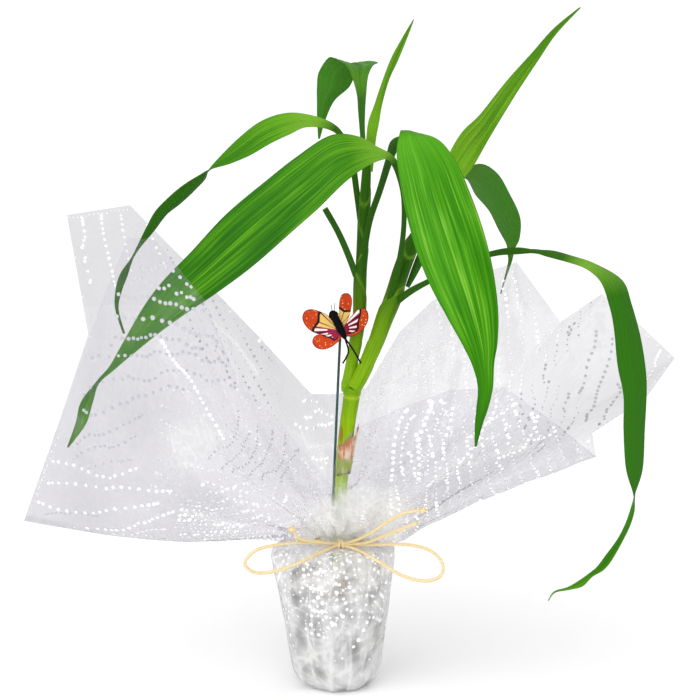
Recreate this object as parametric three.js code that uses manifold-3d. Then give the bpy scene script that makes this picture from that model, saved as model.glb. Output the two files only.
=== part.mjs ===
// A lucky bamboo in a small glass cup, wrapped in dotted clear film and tied with a cord.
// Millimetres, +Z up, the front looks towards -Y. The origin is the middle of the underside.
import * as THREE from 'three';
import { mergeVertices } from 'three/addons/utils/BufferGeometryUtils.js';
import Module from 'manifold-3d';

const wasm = await Module();
wasm.setup();

// Driving sizes
const gap = 0.3; // between pieces that touch
const filmThick = 0.6;
const baseRadius = 13.5; // flat round the wrap stands on
const neckRadius = 10.4; // where the cord gathers the wrap
const neckHeight = 77.5;
const neckTop = neckHeight + 2.6; // the collar spreads from here
const neckPleat = 0.7; // how far each pleat stands out at the neck
const collarPleat = 2.0; // and just above it
const nearRadius = 30; // ring of the collar where the pleats open
const pleats = 18;
const columns = 72; // round the wrap
const cupFoot = 1; // its underside, on the film
const cupFloor = 2.6; // thickness of its bottom
const cupRim = 58; // height of its top
const bladeThick = 0.9;
const bladeEdge = 0.6;
const stalkThick = 2.4;
const cordRadius = 0.8;
const stickRadius = 0.7;
const wingThick = 0.7;

const green = 0x4f9a12;
const darkGreen = 0x2f6e12;

// Helpers on plain points

const vector = (p) => new THREE.Vector3(p[0], p[1], p[2]);

// One step of a smooth curve through b and c, for rows of numbers
function between(a, b, c, d, t) {
  return b.map((_, i) => {
    const ease = (c[i] - a[i]) * t;
    const bend = (2 * a[i] - 5 * b[i] + 4 * c[i] - d[i]) * t * t;
    const turn = (3 * b[i] - a[i] - 3 * c[i] + d[i]) * t * t * t;
    return b[i] + 0.5 * (ease + bend + turn);
  });
}

// The row at place u of an open list, 0 at the first row
function rowAt(rows, u) {
  const last = rows.length - 1;
  const i = Math.min(Math.floor(u), last - 1);
  const before = rows[Math.max(i - 1, 0)];
  const after = rows[Math.min(i + 2, last)];
  return between(before, rows[i], rows[i + 1], after, u - i);
}

// The row at place u of a list that closes on itself
function loopAt(rows, u) {
  const n = rows.length;
  const i = Math.floor(u);
  return between(rows[(i + n - 1) % n], rows[i % n], rows[(i + 1) % n], rows[(i + 2) % n], u - i);
}

function geometryOf(points, triangles) {
  const geometry = new THREE.BufferGeometry();
  geometry.setAttribute('position', new THREE.Float32BufferAttribute(points.flat(), 3));
  geometry.setIndex(triangles.flat());
  return geometry;
}

// Two triangles of a four-cornered face
const quad = (a, b, c, d) => [[a, b, c], [a, c, d]];

// Joins and cuts

function solidOf(geometry) {
  const bare = geometry.clone();
  bare.deleteAttribute('normal');
  bare.deleteAttribute('uv');
  const merged = mergeVertices(bare, 1e-3);
  const vertProperties = new Float32Array(merged.attributes.position.array);
  const triVerts = new Uint32Array(merged.index.array);
  return new wasm.Manifold(new wasm.Mesh({ numProp: 3, vertProperties, triVerts }));
}

function geometryFrom(solid) {
  const mesh = solid.getMesh();
  const geometry = new THREE.BufferGeometry();
  geometry.setAttribute('position', new THREE.Float32BufferAttribute(mesh.vertProperties, 3));
  geometry.setIndex(Array.from(mesh.triVerts));
  return geometry;
}

function joined(geometries) {
  return geometries.map(solidOf).reduce((whole, next) => whole.add(next));
}

// A closed stalk through rows of [x, y, z, radius], grown by extra all round and at both ends
function stalk(rows, sides, stepsPerRow, extra = 0) {
  const points = [];
  const triangles = [];
  const ends = [];
  const rings = (rows.length - 1) * stepsPerRow + 1;
  for (let r = 0; r < rings; r += 1) {
    const u = r / stepsPerRow;
    const here = rowAt(rows, u);
    const ahead = vector(rowAt(rows, Math.min(u + 0.1, rows.length - 1)));
    const behind = vector(rowAt(rows, Math.max(u - 0.1, 0)));
    const along = ahead.sub(behind).normalize();
    const side = new THREE.Vector3(0, 1, 0).cross(along).normalize();
    const front = along.clone().cross(side);
    const longer = r === 0 ? -extra : r === rings - 1 ? extra : 0;
    const centre = vector(here).addScaledVector(along, longer);
    if (r === 0 || r === rings - 1) ends.push(centre.toArray());
    for (let s = 0; s < sides; s += 1) {
      const angle = (2 * Math.PI * s) / sides;
      const out = side.clone().multiplyScalar(Math.cos(angle));
      out.addScaledVector(front, Math.sin(angle));
      points.push(centre.clone().addScaledVector(out, here[3] + extra).toArray());
    }
  }
  for (let r = 0; r < rings - 1; r += 1) {
    for (let s = 0; s < sides; s += 1) {
      const a = r * sides + s;
      const b = r * sides + ((s + 1) % sides);
      triangles.push(...quad(a, b, b + sides, a + sides));
    }
  }
  const foot = points.push(ends[0]) - 1;
  const top = points.push(ends[1]) - 1;
  const lastRing = (rings - 1) * sides;
  for (let s = 0; s < sides; s += 1) {
    const next = (s + 1) % sides;
    triangles.push([foot, next, s], [top, lastRing + s, lastRing + next]);
  }
  return geometryOf(points, triangles);
}

// A round cord through points, as an extruded ring of sides
function cordAlong(points, radius, sides, steps) {
  const section = new THREE.Shape();
  for (let s = 0; s < sides; s += 1) {
    const angle = (2 * Math.PI * s) / sides;
    const corner = [radius * Math.cos(angle), radius * Math.sin(angle)];
    if (s === 0) section.moveTo(...corner);
    else section.lineTo(...corner);
  }
  section.closePath();
  const path = new THREE.CatmullRomCurve3(points.map(vector));
  return new THREE.ExtrudeGeometry(section, { steps, bevelEnabled: false, extrudePath: path });
}

// Glass cup: outside profile as [radius, height], from the middle of its underside to the rim
const cupOutside = [
  [0, cupFoot], [14, cupFoot], [18.4, 5.4], [20.6, 14], [22, 26], [23.4, 40], [24.6, 54], [25, cupRim],
];
const cupInside = [
  [23.4, cupRim], [23, 54], [21.8, 40], [20.4, 26], [19, 14], [16.8, 7.4],
  [13, cupFoot + cupFloor], [0, cupFoot + cupFloor],
];

function cup() {
  const profile = [...cupOutside, ...cupInside].map(([r, z]) => new THREE.Vector2(r, z));
  const geometry = new THREE.LatheGeometry(profile, 32);
  geometry.rotateX(Math.PI / 2);
  return geometry;
}

// Inner radius of the cup at a height
function cupInnerRadius(z) {
  const wall = cupInside.slice(0, -1).reverse();
  const above = wall.findIndex(([, height]) => height >= z);
  if (above < 0) return wall[wall.length - 1][0];
  if (above === 0) return wall[0][0];
  const [lowRadius, low] = wall[above - 1];
  const [highRadius, high] = wall[above];
  return lowRadius + ((highRadius - lowRadius) * (z - low)) / (high - low);
}

// Stems: rows of [x, y, z, radius]; the small swellings on the cane are its nodes
const caneRows = [
  [-2.5, 4, 8, 3.4], [-1.6, 3, 30, 3.7], [-0.9, 1.4, 55, 3.7], [-0.4, 0, 77, 3.7],
  [0.2, -0.8, 92, 3.7], [0.5, -1, 98, 4.1], [0.8, -1.1, 103, 3.7], [3.5, -2, 126, 3.8],
  [5, -2, 138, 3.9], [6.5, -2.2, 148, 4.1], [7, -2.4, 152.5, 4.5], [7.3, -2.5, 154.6, 4.1],
];
const rightShootRows = [
  [7.9, -2.6, 155.4, 4.1], [10.3, -3.2, 159, 3.8], [14, -4, 166.5, 3.7], [19.5, -5, 179.5, 3.9],
  [23, -5, 189.5, 4], [27.5, -4, 201.5, 4.2], [31.5, -3, 214, 4], [36, -1, 225, 3.6],
  [41, 1, 233.5, 2.9], [45, 3, 239, 2],
];
const leftShootRows = [
  [4.6, -1.4, 152.4, 2.6], [5, -1, 156.5, 3.1], [6.5, -1, 166, 2.8], [9, -1, 178.5, 3.1],
  [10.5, -1, 190, 3.2], [11, -1, 204, 3.1], [11.5, -1, 216.5, 2.7], [12.5, -1, 231, 2.8],
  [13.5, -1, 251, 2.6], [14.5, -1, 269, 2],
];
const stickRows = [
  [-6.4, -5.4, 9, stickRadius], [-3.3, -7.2, 77, stickRadius],
  [-1.2, -9.8, 129.5, stickRadius], [1.2, -13.7, 183.5, stickRadius],
];
const stemSides = 10;

const caneSolid = solidOf(stalk(caneRows, stemSides, 2));
const rightShootSolid = solidOf(stalk(rightShootRows, stemSides, 2))
  .subtract(solidOf(stalk(caneRows, stemSides, 2, gap)));
const leftShootSolid = solidOf(stalk(leftShootRows, stemSides, 2))
  .subtract(solidOf(stalk(caneRows, stemSides, 2, gap)))
  .subtract(solidOf(stalk(rightShootRows, stemSides, 2, gap)));

// Leaves: each row is the left edge then the right edge of the blade, seen from its upper face,
// from the foot of the stalk to the tip. fold lowers the midrib of a channelled blade, and a
// negative one raises that of an arched blade. blade is the row where the flat blade begins.
const leaves = {
  leaf_front_left: {
    blade: 6, fold: 0.1, steps: 25, color: green,
    rows: [
      [23.5, -7, 198, 26, -7, 197], [27.5, -11, 213.5, 30.5, -11, 212.5],
      [30.5, -19, 233, 33, -19, 233], [30.5, -28, 250.5, 33, -28, 250.5],
      [28, -34, 262, 30.5, -34, 263], [24.5, -39, 269.5, 27, -39, 271.5],
      [21.5, -43, 270.5, 19, -38, 276.5], [13.5, -47, 267.5, 10, -38, 281],
      [3.5, -51, 260.5, -3.5, -40, 281.5], [-9, -54, 248, -20, -42, 271.5],
      [-22, -55, 237, -35.5, -44, 259], [-40.5, -54, 221, -53, -44, 244],
      [-58, -51, 207.5, -68.5, -43, 228], [-73.5, -48, 197, -82.5, -42, 213.5],
      [-85, -45, 188.5, -92.5, -41, 200], [-97, -42, 178.5, -103, -39, 182.5],
      [-107.5, -39, 169.5, -109.5, -37, 171.5], [-115, -35, 162.5, -115.5, -37, 164.5],
      [-119, -31, 151.5, -124, -34, 153.5], [-123, -28, 141, -127.5, -30, 142],
      [-132, -25, 129, -132.5, -26, 129.5],
    ],
  },
  leaf_front_hanging: {
    blade: 6, fold: -0.12, steps: 25, color: green,
    rows: [
      [11, -2.5, 220, 14, -2.5, 219.5], [14, -8, 238.5, 17, -8, 238], [19, -16, 255, 22, -16, 254],
      [23, -26, 270, 26.5, -26, 269], [26, -35, 279.5, 29.5, -35, 277.5],
      [37.5, -44, 282.5, 29.5, -45, 284], [47.5, -52, 279.5, 27.5, -54, 275.5],
      [55.5, -60, 269.5, 28.5, -64, 263.5], [61, -67, 256.5, 31, -72, 249.5],
      [66.5, -73, 240, 36, -80, 232], [71, -79, 222, 42.5, -86, 215.5],
      [73, -85, 205.5, 49.5, -90, 202.5], [72.5, -88, 191.5, 56.5, -92, 190.5],
      [71, -90, 182, 61, -92, 181], [70.5, -91, 170.5, 63.5, -92, 171],
      [68.5, -91, 161.5, 63, -92, 161], [66, -90, 153.5, 62.5, -91, 152.5],
      [63.5, -90, 143.5, 62.5, -91, 143.5],
    ],
  },
  leaf_upper_left: {
    blade: 5, fold: 0.15, steps: 31, color: green,
    rows: [
      [10.5, 0, 231.5, 13.5, 0, 231.5], [8, 3, 250.5, 11, 3, 251], [5.5, 5, 266.5, 8.5, 5, 267],
      [1.5, 6, 278, 3.5, 6, 279.5], [-5, 5, 283, -3, 7, 286], [-15.5, 3, 284, -14, 7, 290],
      [-23.5, 2, 280.5, -25.5, 8, 291], [-33.5, 2, 276, -37.5, 8, 287], [-44, 2, 270, -48.5, 7, 279],
      [-53.5, 1, 266, -57.5, 5, 270.5], [-63, -1, 263.5, -63.5, 3, 263.5], [-68, -2, 261, -65.5, 3, 258.5],
      [-75, -5, 256.5, -71, 2, 253], [-82.5, -8, 250.5, -78, -2, 246.5],
      [-89, -12, 244, -84, -6, 241.5], [-93, -14, 236.5, -89.5, -10, 234.5],
      [-97.3, -16, 227.5, -96, -12, 227], [-100.6, -17, 221.5, -99.6, -13, 221.5],
      [-105.8, -18, 214, -102.8, -14, 212.5], [-108.3, -18, 205.5, -105.6, -16, 205],
      [-108.5, -19, 196.5, -107, -18, 196.5], [-105, -19, 184.5, -104, -18, 184.5],
    ],
  },
  leaf_top_folded: {
    blade: 4, fold: 0.25, steps: 18, color: darkGreen,
    rows: [
      [12.5, 0.5, 262, 15.5, 0.5, 262.5], [11, 5, 279.5, 13.5, 5, 280], [10, 8, 291.5, 13.5, 8, 291.5],
      [9.5, 10, 299, 14, 11, 299.5], [7.5, 13, 307, 15, 15, 308.5], [4.5, 19, 313.5, 17.5, 21, 314],
      [-1, 28, 316.5, 20, 29, 316], [-5, 35, 318, 14, 35, 315.5], [-10, 41, 310.5, 9, 40, 309.5],
      [-11, 43, 302.5, 5.5, 42, 303], [-11, 45, 295.5, -2, 44, 296], [-11, 46, 287, -6.5, 46, 286.5],
      [-10.5, 47, 276.5, -9.5, 47, 276.5],
    ],
  },
  leaf_young_upright: {
    blade: 2, fold: 0.4, steps: 11, color: green,
    rows: [
      [13.8, -2, 262.5, 17.2, -2, 262.5], [14, -1, 278, 18.5, -3, 277], [15, 0, 286.5, 20, -4, 286],
      [18, 0, 295, 21.5, -4, 295], [21.5, -1, 306, 25, -5, 307], [26, -3, 317.5, 29, -6, 316],
      [31.5, -4, 327.5, 33.5, -6, 327], [36.5, -6, 336, 37, -6, 336],
    ],
  },
  leaf_upper_right: {
    blade: 2, fold: 0.45, steps: 14, color: green,
    rows: [
      [45.5, 1, 240, 48.5, 1, 238.5], [49.5, 2, 253.5, 55, 2, 250], [54, 4, 268.5, 62.5, 0, 259.5],
      [61, 6, 281, 67.5, 0, 266.5], [69.5, 8, 289.5, 74, 2, 277.5], [77.5, 11, 299, 81.5, 5, 290],
      [86, 14, 309, 88.5, 9, 301], [96.5, 17, 320.5, 99, 14, 316], [107, 20, 332, 108.5, 18, 329.5],
      [120, 22, 342.5, 121, 22, 342.5],
    ],
  },
  leaf_right_behind: {
    blade: 5, fold: -0.2, steps: 22, color: darkGreen,
    rows: [
      [33.6, -2.2, 206, 35.4, -2.2, 205], [37.2, 0.2, 216, 41, 0.2, 214.5], [41.4, 3, 226, 45.4, 3, 224.5],
      [45.8, 6, 236, 49.4, 6, 234.5], [53.5, 12, 252.5, 55.5, 12, 250.5],
      [63.5, 17, 258, 63.5, 21, 261.5], [70, 24, 249, 72.5, 30, 264.5],
      [76.5, 34, 241, 82.5, 40, 258.5], [81.5, 43, 232.5, 89.5, 47, 247], [85.5, 53, 226, 95, 54, 235],
      [88.5, 58, 220.5, 95.5, 59, 224], [89.5, 62, 215, 93.5, 62, 218], [90, 64, 210.5, 92, 65, 210.5],
      [88.3, 68, 201, 89.2, 68, 201], [86.5, 70, 193, 87.2, 70, 193],
    ],
  },
  leaf_far_right: {
    blade: 8, fold: 0.15, steps: 32, color: green,
    rows: [
      [27, -6.5, 199.5, 29.5, -6.5, 197], [35, -12, 206, 37, -12, 203.5],
      [44, -19, 211.5, 45.5, -19, 209.5], [58, -29, 220, 59.5, -29, 218],
      [73, -38, 227, 74, -38, 224.5], [86, -46, 229.5, 86.5, -46, 226.5],
      [97.5, -54, 226.5, 98.5, -51, 228.5], [107.5, -60, 224, 109.5, -56, 226.5],
      [115.5, -65, 221, 119.5, -60, 223.5], [121.5, -70, 215.5, 131.5, -63, 216],
      [125, -72, 204.5, 136, -65, 205.5], [127, -73, 193.5, 140, -66, 192.5],
      [129, -74, 178.5, 142.5, -67, 177.5], [132, -74, 164, 143.5, -68, 164],
      [132.5, -72, 147.5, 143.5, -67, 146.5], [134.5, -70, 129, 143, -66, 128],
      [138.5, -68, 116.5, 140, -65, 116], [139.5, -67, 109, 138.5, -64, 109],
      [138, -66, 101, 136.5, -62, 101], [135, -64, 92.5, 133, -60, 92.5],
      [130.5, -61, 82.5, 128, -57, 83.5], [127, -58, 76.5, 124.5, -55, 77.5],
      [122, -56, 72.5, 121, -54, 74], [117.5, -55, 67.5, 115.5, -53, 69.5],
      [111.5, -54, 65.5, 110.5, -53, 66.5], [104.5, -54, 64, 104, -53.5, 64.5],
      [101.5, -54, 60, 101, -54, 60],
    ],
  },
  leaf_clipped: {
    blade: 9, fold: 0.2, steps: 4, color: darkGreen,
    rows: [
      [7.5, -2, 210.5, 10.5, -2, 211.5], [3.5, -4, 221.5, 6.5, -4, 222.5],
      [-1.2, -6, 232.5, 1.4, -6, 234], [-7.5, -8, 244, -5, -8, 245.5],
    ],
  },
};
const across = [-1, -0.5, 0, 0.5, 1]; // places over a blade's width, its edges at -1 and 1

// Turns the edge rows of a leaf into blade points with the way each one looks
function bladeFrame(leaf, u) {
  const row = rowAt(leaf.rows, u);
  const left = vector(row.slice(0, 3));
  const right = vector(row.slice(3));
  const middle = (at) => {
    const [a, b, c, d, e, f] = rowAt(leaf.rows, THREE.MathUtils.clamp(at, 0, leaf.rows.length - 1));
    return new THREE.Vector3(a + d, b + e, c + f).multiplyScalar(0.5);
  };
  const along = middle(u + 0.2).sub(middle(u - 0.2)).normalize();
  const over = right.clone().sub(left);
  const up = over.clone().cross(along).normalize();
  return { left, right, up, half: over.length() / 2 };
}

// A blade is thick and narrow as a stalk, then thins out to a flat leaf with gently waved edges
function blade(leaf) {
  const points = [];
  const triangles = [];
  const rowLast = leaf.rows.length - 1;
  const wide = across.length;
  for (let i = 0; i <= leaf.steps; i += 1) {
    const u = (rowLast * i) / leaf.steps;
    const { left, right, up, half } = bladeFrame(leaf, u);
    const opened = THREE.MathUtils.smoothstep(u, leaf.blade - 2.5, leaf.blade);
    const middleThick = THREE.MathUtils.lerp(stalkThick, bladeThick, opened);
    const wave = 0.05 * half * Math.sin(1.9 * u) * opened;
    for (const side of [1, -1]) {
      for (const s of across) {
        const place = left.clone().lerp(right, (s + 1) / 2);
        const thick = bladeEdge + (middleThick - bladeEdge) * (1 - s * s);
        const sink = -leaf.fold * half * (1 - Math.abs(s)) + wave * s;
        place.addScaledVector(up, sink + (side * thick) / 2);
        points.push(place.toArray());
      }
    }
  }
  const ring = 2 * wide;
  for (let i = 0; i < leaf.steps; i += 1) {
    const row = i * ring;
    for (let s = 0; s < wide - 1; s += 1) {
      const top = row + s;
      const under = row + wide + s;
      triangles.push(...quad(top, top + 1, top + 1 + ring, top + ring));
      triangles.push([under, under + 1 + ring, under + 1], [under, under + ring, under + 1 + ring]);
    }
    const [topRight, underRight] = [row + wide - 1, row + 2 * wide - 1];
    triangles.push(...quad(row + wide, row, row + ring, row + wide + ring));
    triangles.push(...quad(topRight, underRight, underRight + ring, topRight + ring));
  }
  const last = leaf.steps * ring;
  for (let s = 0; s < wide - 1; s += 1) {
    triangles.push(...quad(s + wide, s + wide + 1, s + 1, s));
    triangles.push(...quad(last + s, last + s + 1, last + s + wide + 1, last + s + wide));
  }
  return geometryOf(points, triangles);
}

function leafOnStem(leaf) {
  const nearStems = [leftShootRows, rightShootRows].map((rows) => solidOf(stalk(rows, stemSides, 2, gap)));
  return nearStems.reduce((rest, stem) => rest.subtract(stem), solidOf(blade(leaf)));
}

// Dry papery scrap that clings to the right and front of the cane; its torn top rises to the right
const sheath = {
  firstAngle: -125, lastAngle: 25, foot: 111, topLeft: 126, topRight: 136,
  tight: 4.6, loose: 5.4, thick: 0.6,
};

function drySheath() {
  const turns = 9;
  const heights = 3;
  const { lerp, degToRad } = THREE.MathUtils;
  const grid = [];
  for (let i = 0; i <= heights; i += 1) {
    const ring = [];
    const radius = lerp(sheath.tight, sheath.loose, i / heights);
    for (let j = 0; j <= turns; j += 1) {
      const angle = degToRad(lerp(sheath.firstAngle, sheath.lastAngle, j / turns));
      const z = lerp(sheath.foot, lerp(sheath.topLeft, sheath.topRight, j / turns), i / heights);
      const [x, y] = caneAxisAt(z);
      ring.push(new THREE.Vector3(x + radius * Math.cos(angle), y + radius * Math.sin(angle), z));
    }
    grid.push(ring);
  }
  return shell(grid, sheath.thick, false);
}

// Middle of the cane at a height
function caneAxisAt(z) {
  const above = caneRows.findIndex((row) => row[2] >= z);
  const [low, high] = [caneRows[above - 1], caneRows[above]];
  const t = (z - low[2]) / (high[2] - low[2]);
  return [low[0] + (high[0] - low[0]) * t, low[1] + (high[1] - low[1]) * t];
}

// Thin shell on a grid of points; grid[row][column] turns anticlockwise, seen from its outer face
function shell(grid, thickness, closedRound, pole = null) {
  const rows = grid.length;
  const wide = grid[0].length;
  const column = (j) => (closedRound ? (j + wide) % wide : THREE.MathUtils.clamp(j, 0, wide - 1));
  const outwards = grid.map((ring, i) => ring.map((_, j) => {
    const up = grid[Math.min(i + 1, rows - 1)][j].clone().sub(grid[Math.max(i - 1, 0)][j]);
    const round = ring[column(j + 1)].clone().sub(ring[column(j - 1)]);
    return round.cross(up).normalize();
  }));
  const points = [];
  const triangles = [];
  for (const side of [0.5, -0.5]) {
    for (let i = 0; i < rows; i += 1) {
      for (let j = 0; j < wide; j += 1) {
        points.push(grid[i][j].clone().addScaledVector(outwards[i][j], side * thickness).toArray());
      }
    }
  }
  const inner = rows * wide;
  const spans = closedRound ? wide : wide - 1;
  for (let i = 0; i < rows - 1; i += 1) {
    for (let j = 0; j < spans; j += 1) {
      const [a, b] = [i * wide + j, i * wide + column(j + 1)];
      triangles.push(...quad(a, b, b + wide, a + wide));
      const [c, d] = [a + inner, b + inner];
      triangles.push([c, d + wide, d], [c, c + wide, d + wide]);
    }
  }
  const lastRow = (rows - 1) * wide;
  for (let j = 0; j < spans; j += 1) {
    const [a, b] = [lastRow + j, lastRow + column(j + 1)];
    triangles.push(...quad(a, b, b + inner, a + inner));
    if (!pole) triangles.push(...quad(column(j + 1), j, j + inner, column(j + 1) + inner));
  }
  if (!closedRound) {
    for (let i = 0; i < rows - 1; i += 1) {
      const [a, b] = [i * wide, i * wide + wide - 1];
      triangles.push(...quad(a, a + wide, a + wide + inner, a + inner));
      triangles.push(...quad(b + wide, b, b + inner, b + wide + inner));
    }
  }
  if (pole) {
    const outer = points.push([pole.x, pole.y, pole.z - thickness / 2]) - 1;
    const within = points.push([pole.x, pole.y, pole.z + thickness / 2]) - 1;
    for (let j = 0; j < wide; j += 1) {
      const next = column(j + 1);
      triangles.push([outer, next, j], [within, j + inner, next + inner]);
    }
  }
  return geometryOf(points, triangles);
}

// The wrap round the cup, from its base to the neck: radius in front and behind, to the left and to
// the right, and height
const pouchRings = [
  [baseRadius, baseRadius, baseRadius, filmThick / 2], [15.2, 16.4, 15.2, filmThick / 2],
  [19.9, 22.2, 19.9, 5], [21.9, 24.8, 21.9, 14], [26.3, 31, 27, 53], [26.6, 32.4, 28, 62],
  [25.2, 32.6, 28, 69.2], [19, 26.4, 22.6, 72.8], [11.8, 12.8, 12.6, 75],
  [neckRadius, neckRadius, neckRadius, neckHeight - 1], [neckRadius, neckRadius, neckRadius, neckTop],
];
const pouchPleat = [0, 0, 0, 0, 0.1, 0.3, 0.8, 0.9, neckPleat, neckPleat, neckPleat]; // on each ring

// The collar above the neck, clockwise from the front: height of the near ring, then a point
// halfway out and a point on the cut edge of the film
const collarRows = [
  [90, [-1, -38, 95], [-3, -60, 119]], // low in front
  [91, [-15.5, -46, 108], [-22, -72, 145]],
  [92, [-33, -54, 124.5], [-47.5, -78, 177]],
  [92, [-46, -58, 132.5], [-60, -76, 208.5]],
  [91, [-58, -58, 136], [-83, -72, 236]], // top of the front left flap
  [88, [-68, -56, 132], [-96, -66, 236]],
  [84, [-77.5, -52, 119], [-109, -60, 206.5]],
  [80, [-87.5, -48, 103.5], [-130.5, -50, 151.5]],
  [77.5, [-87, -34, 83.5], [-155, -24, 92]], // left corner
  [78.5, [-87.5, -6, 87.5], [-142, 6, 134]],
  [80, [-84, 14, 103.5], [-128.5, 26, 177.5]], // notch in the left edge
  [84, [-80, 30, 126.5], [-140.5, 42, 237.5]], // back left corner
  [88, [-70.5, 44, 140], [-109.5, 56, 241.5]],
  [90, [-55, 48, 128.5], [-86, 60, 216.5]],
  [91, [-39, 48, 117.5], [-65.5, 62, 195]],
  [91, [-26, 44, 107.5], [-41, 60, 169.5]],
  [91, [-11, 36, 99.5], [-14.5, 52, 141.5]],
  [91, [-0.5, 30, 97.5], [-1, 44, 143]], // low at the back
  [91, [10, 32, 99.5], [14.5, 46, 146]],
  [92, [19, 38, 109], [32, 54, 174.5]],
  [92, [32.5, 40, 116.5], [49, 56, 190.5]],
  [92, [45.5, 42, 124], [73.5, 56, 205]],
  [90, [58.5, 40, 130], [93.5, 51, 212]], // back right peak
  [88, [68.5, 32, 126], [116, 44, 181.5]],
  [86, [83.5, 22, 128], [135.5, 30, 198]], // second peak
  [84, [87.5, 10, 125.5], [153.5, 16, 183.5]],
  [82, [89, -2, 120.5], [168.5, 0, 169.5]], // right corner
  [80.5, [83.5, -12, 116], [152.5, -14, 152]],
  [79.5, [75, -20, 111.5], [124.5, -26, 136.5]],
  [79, [70, -28, 102.5], [125.5, -34, 126.5]], // low corner
  [80, [60.5, -38, 111], [104.5, -46, 145]],
  [85, [49, -46, 118.5], [79, -56, 164.5]],
  [89, [35.5, -48, 118], [53, -60, 164]],
  [91, [20.5, -46, 113.5], [28.5, -58, 154.5]],
  [91, [7, -42, 107], [8, -54, 144.5]],
  [91, [2, -40, 100.5], [0, -54, 135.5]],
];
// rows of faces from the neck to the near ring, on to the halfway points and out to the edge
const nearSteps = 3;
const halfSteps = 3;
const edgeSteps = 4;

// Clockwise angle of a column round the wrap, from the front
const columnAngle = (c) => -Math.PI / 2 - (2 * Math.PI * c) / columns;
const pleatAt = (c) => Math.sin((2 * Math.PI * pleats * c) / columns + Math.PI / 4);

function pouchPoint(ring, c) {
  const [front, left, right, z] = pouchRings[ring];
  const angle = columnAngle(c);
  const side = Math.cos(angle) < 0 ? left : right;
  const plain = THREE.MathUtils.lerp(front, side, Math.abs(Math.cos(angle)) ** 3);
  const radius = plain + pouchPleat[ring] * pleatAt(c);
  return new THREE.Vector3(radius * Math.cos(angle), radius * Math.sin(angle), z);
}

// The four points that a strip of the collar runs through, at column c
function collarStrip(c) {
  const u = (collarRows.length * c) / columns;
  const angle = columnAngle(c);
  const [nearHeight] = loopAt(collarRows.map((row) => [row[0]]), u);
  const half = loopAt(collarRows.map((row) => row[1]), u);
  const i = Math.floor(u);
  const [here, next] = [collarRows[i % collarRows.length][2], collarRows[(i + 1) % collarRows.length][2]];
  const edge = here.map((value, axis) => value + (next[axis] - value) * (u - i));
  const neck = [neckRadius * Math.cos(angle), neckRadius * Math.sin(angle), neckTop];
  const below = [neckRadius * Math.cos(angle), neckRadius * Math.sin(angle), neckHeight];
  const near = [nearRadius * Math.cos(angle), nearRadius * Math.sin(angle), nearHeight];
  return { below, neck, near, half, edge };
}

function collarPoint(c, u) {
  const { below, neck, near, half, edge } = collarStrip(c);
  if (u <= 1) return between(below, neck, near, half, u);
  if (u <= 2) return between(neck, near, half, edge, u - 1);
  return between(near, half, edge, edge, u - 2);
}

// Pleats stand out of the collar's own face and die away towards its edge
function pleatedCollarPoint(c, u) {
  const place = vector(collarPoint(c, u));
  const round = vector(collarPoint(c + 1, u)).sub(vector(collarPoint((c + columns - 1) % columns, u)));
  const up = vector(collarPoint(c, Math.min(u + 0.1, 3))).sub(vector(collarPoint(c, Math.max(u - 0.1, 0))));
  const out = round.cross(up).normalize();
  const opening = THREE.MathUtils.smoothstep(u, 0, 0.8);
  const dying = 1 - THREE.MathUtils.smoothstep(u, 1.2, 2.8);
  const height = THREE.MathUtils.lerp(neckPleat, collarPleat, opening) * dying;
  return place.addScaledVector(out, -height * pleatAt(c));
}

function wrap() {
  const stations = [];
  for (let s = 1; s <= nearSteps; s += 1) stations.push(s / nearSteps);
  for (let s = 1; s <= halfSteps; s += 1) stations.push(1 + s / halfSteps);
  for (let s = 1; s <= edgeSteps; s += 1) stations.push(2 + s / edgeSteps);
  // the columns run clockwise from the front, so they are turned round for the shell
  const everyColumn = Array.from({ length: columns }, (_, c) => columns - 1 - c);
  const pouch = pouchRings.map((_, ring) => everyColumn.map((c) => pouchPoint(ring, c)));
  const collar = stations.map((u) => everyColumn.map((c) => pleatedCollarPoint(c, u)));
  return shell([...pouch, ...collar], filmThick, true, new THREE.Vector3(0, 0, filmThick / 2));
}

// Stones: a core in the cup with round stones sunk into it, and the holes of the cane and the stick
const stoneLevels = [
  { z: 9, count: 7 }, { z: 19, count: 8 }, { z: 30, count: 8 }, { z: 41, count: 9 }, { z: 52, count: 9 },
];
const stoneCore = [
  [0, 4.2], [11.5, 4.2], [14.5, 9], [16.5, 16], [18, 28], [19.4, 42], [20.4, 52], [17, 58], [0, 60],
];
const stoneWallGap = 0.5;
const smallStone = 3.7; // radius
const stoneSpread = 1.4; // how much more the largest ones have
const heapStones = 5; // on top, laid in a spiral
const heapHeight = 58.5;
const spiralTurn = 2.4; // radians from one to the next

function random(seed) {
  let state = seed;
  return () => {
    state = (state * 16807) % 2147483647;
    return state / 2147483647;
  };
}

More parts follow.
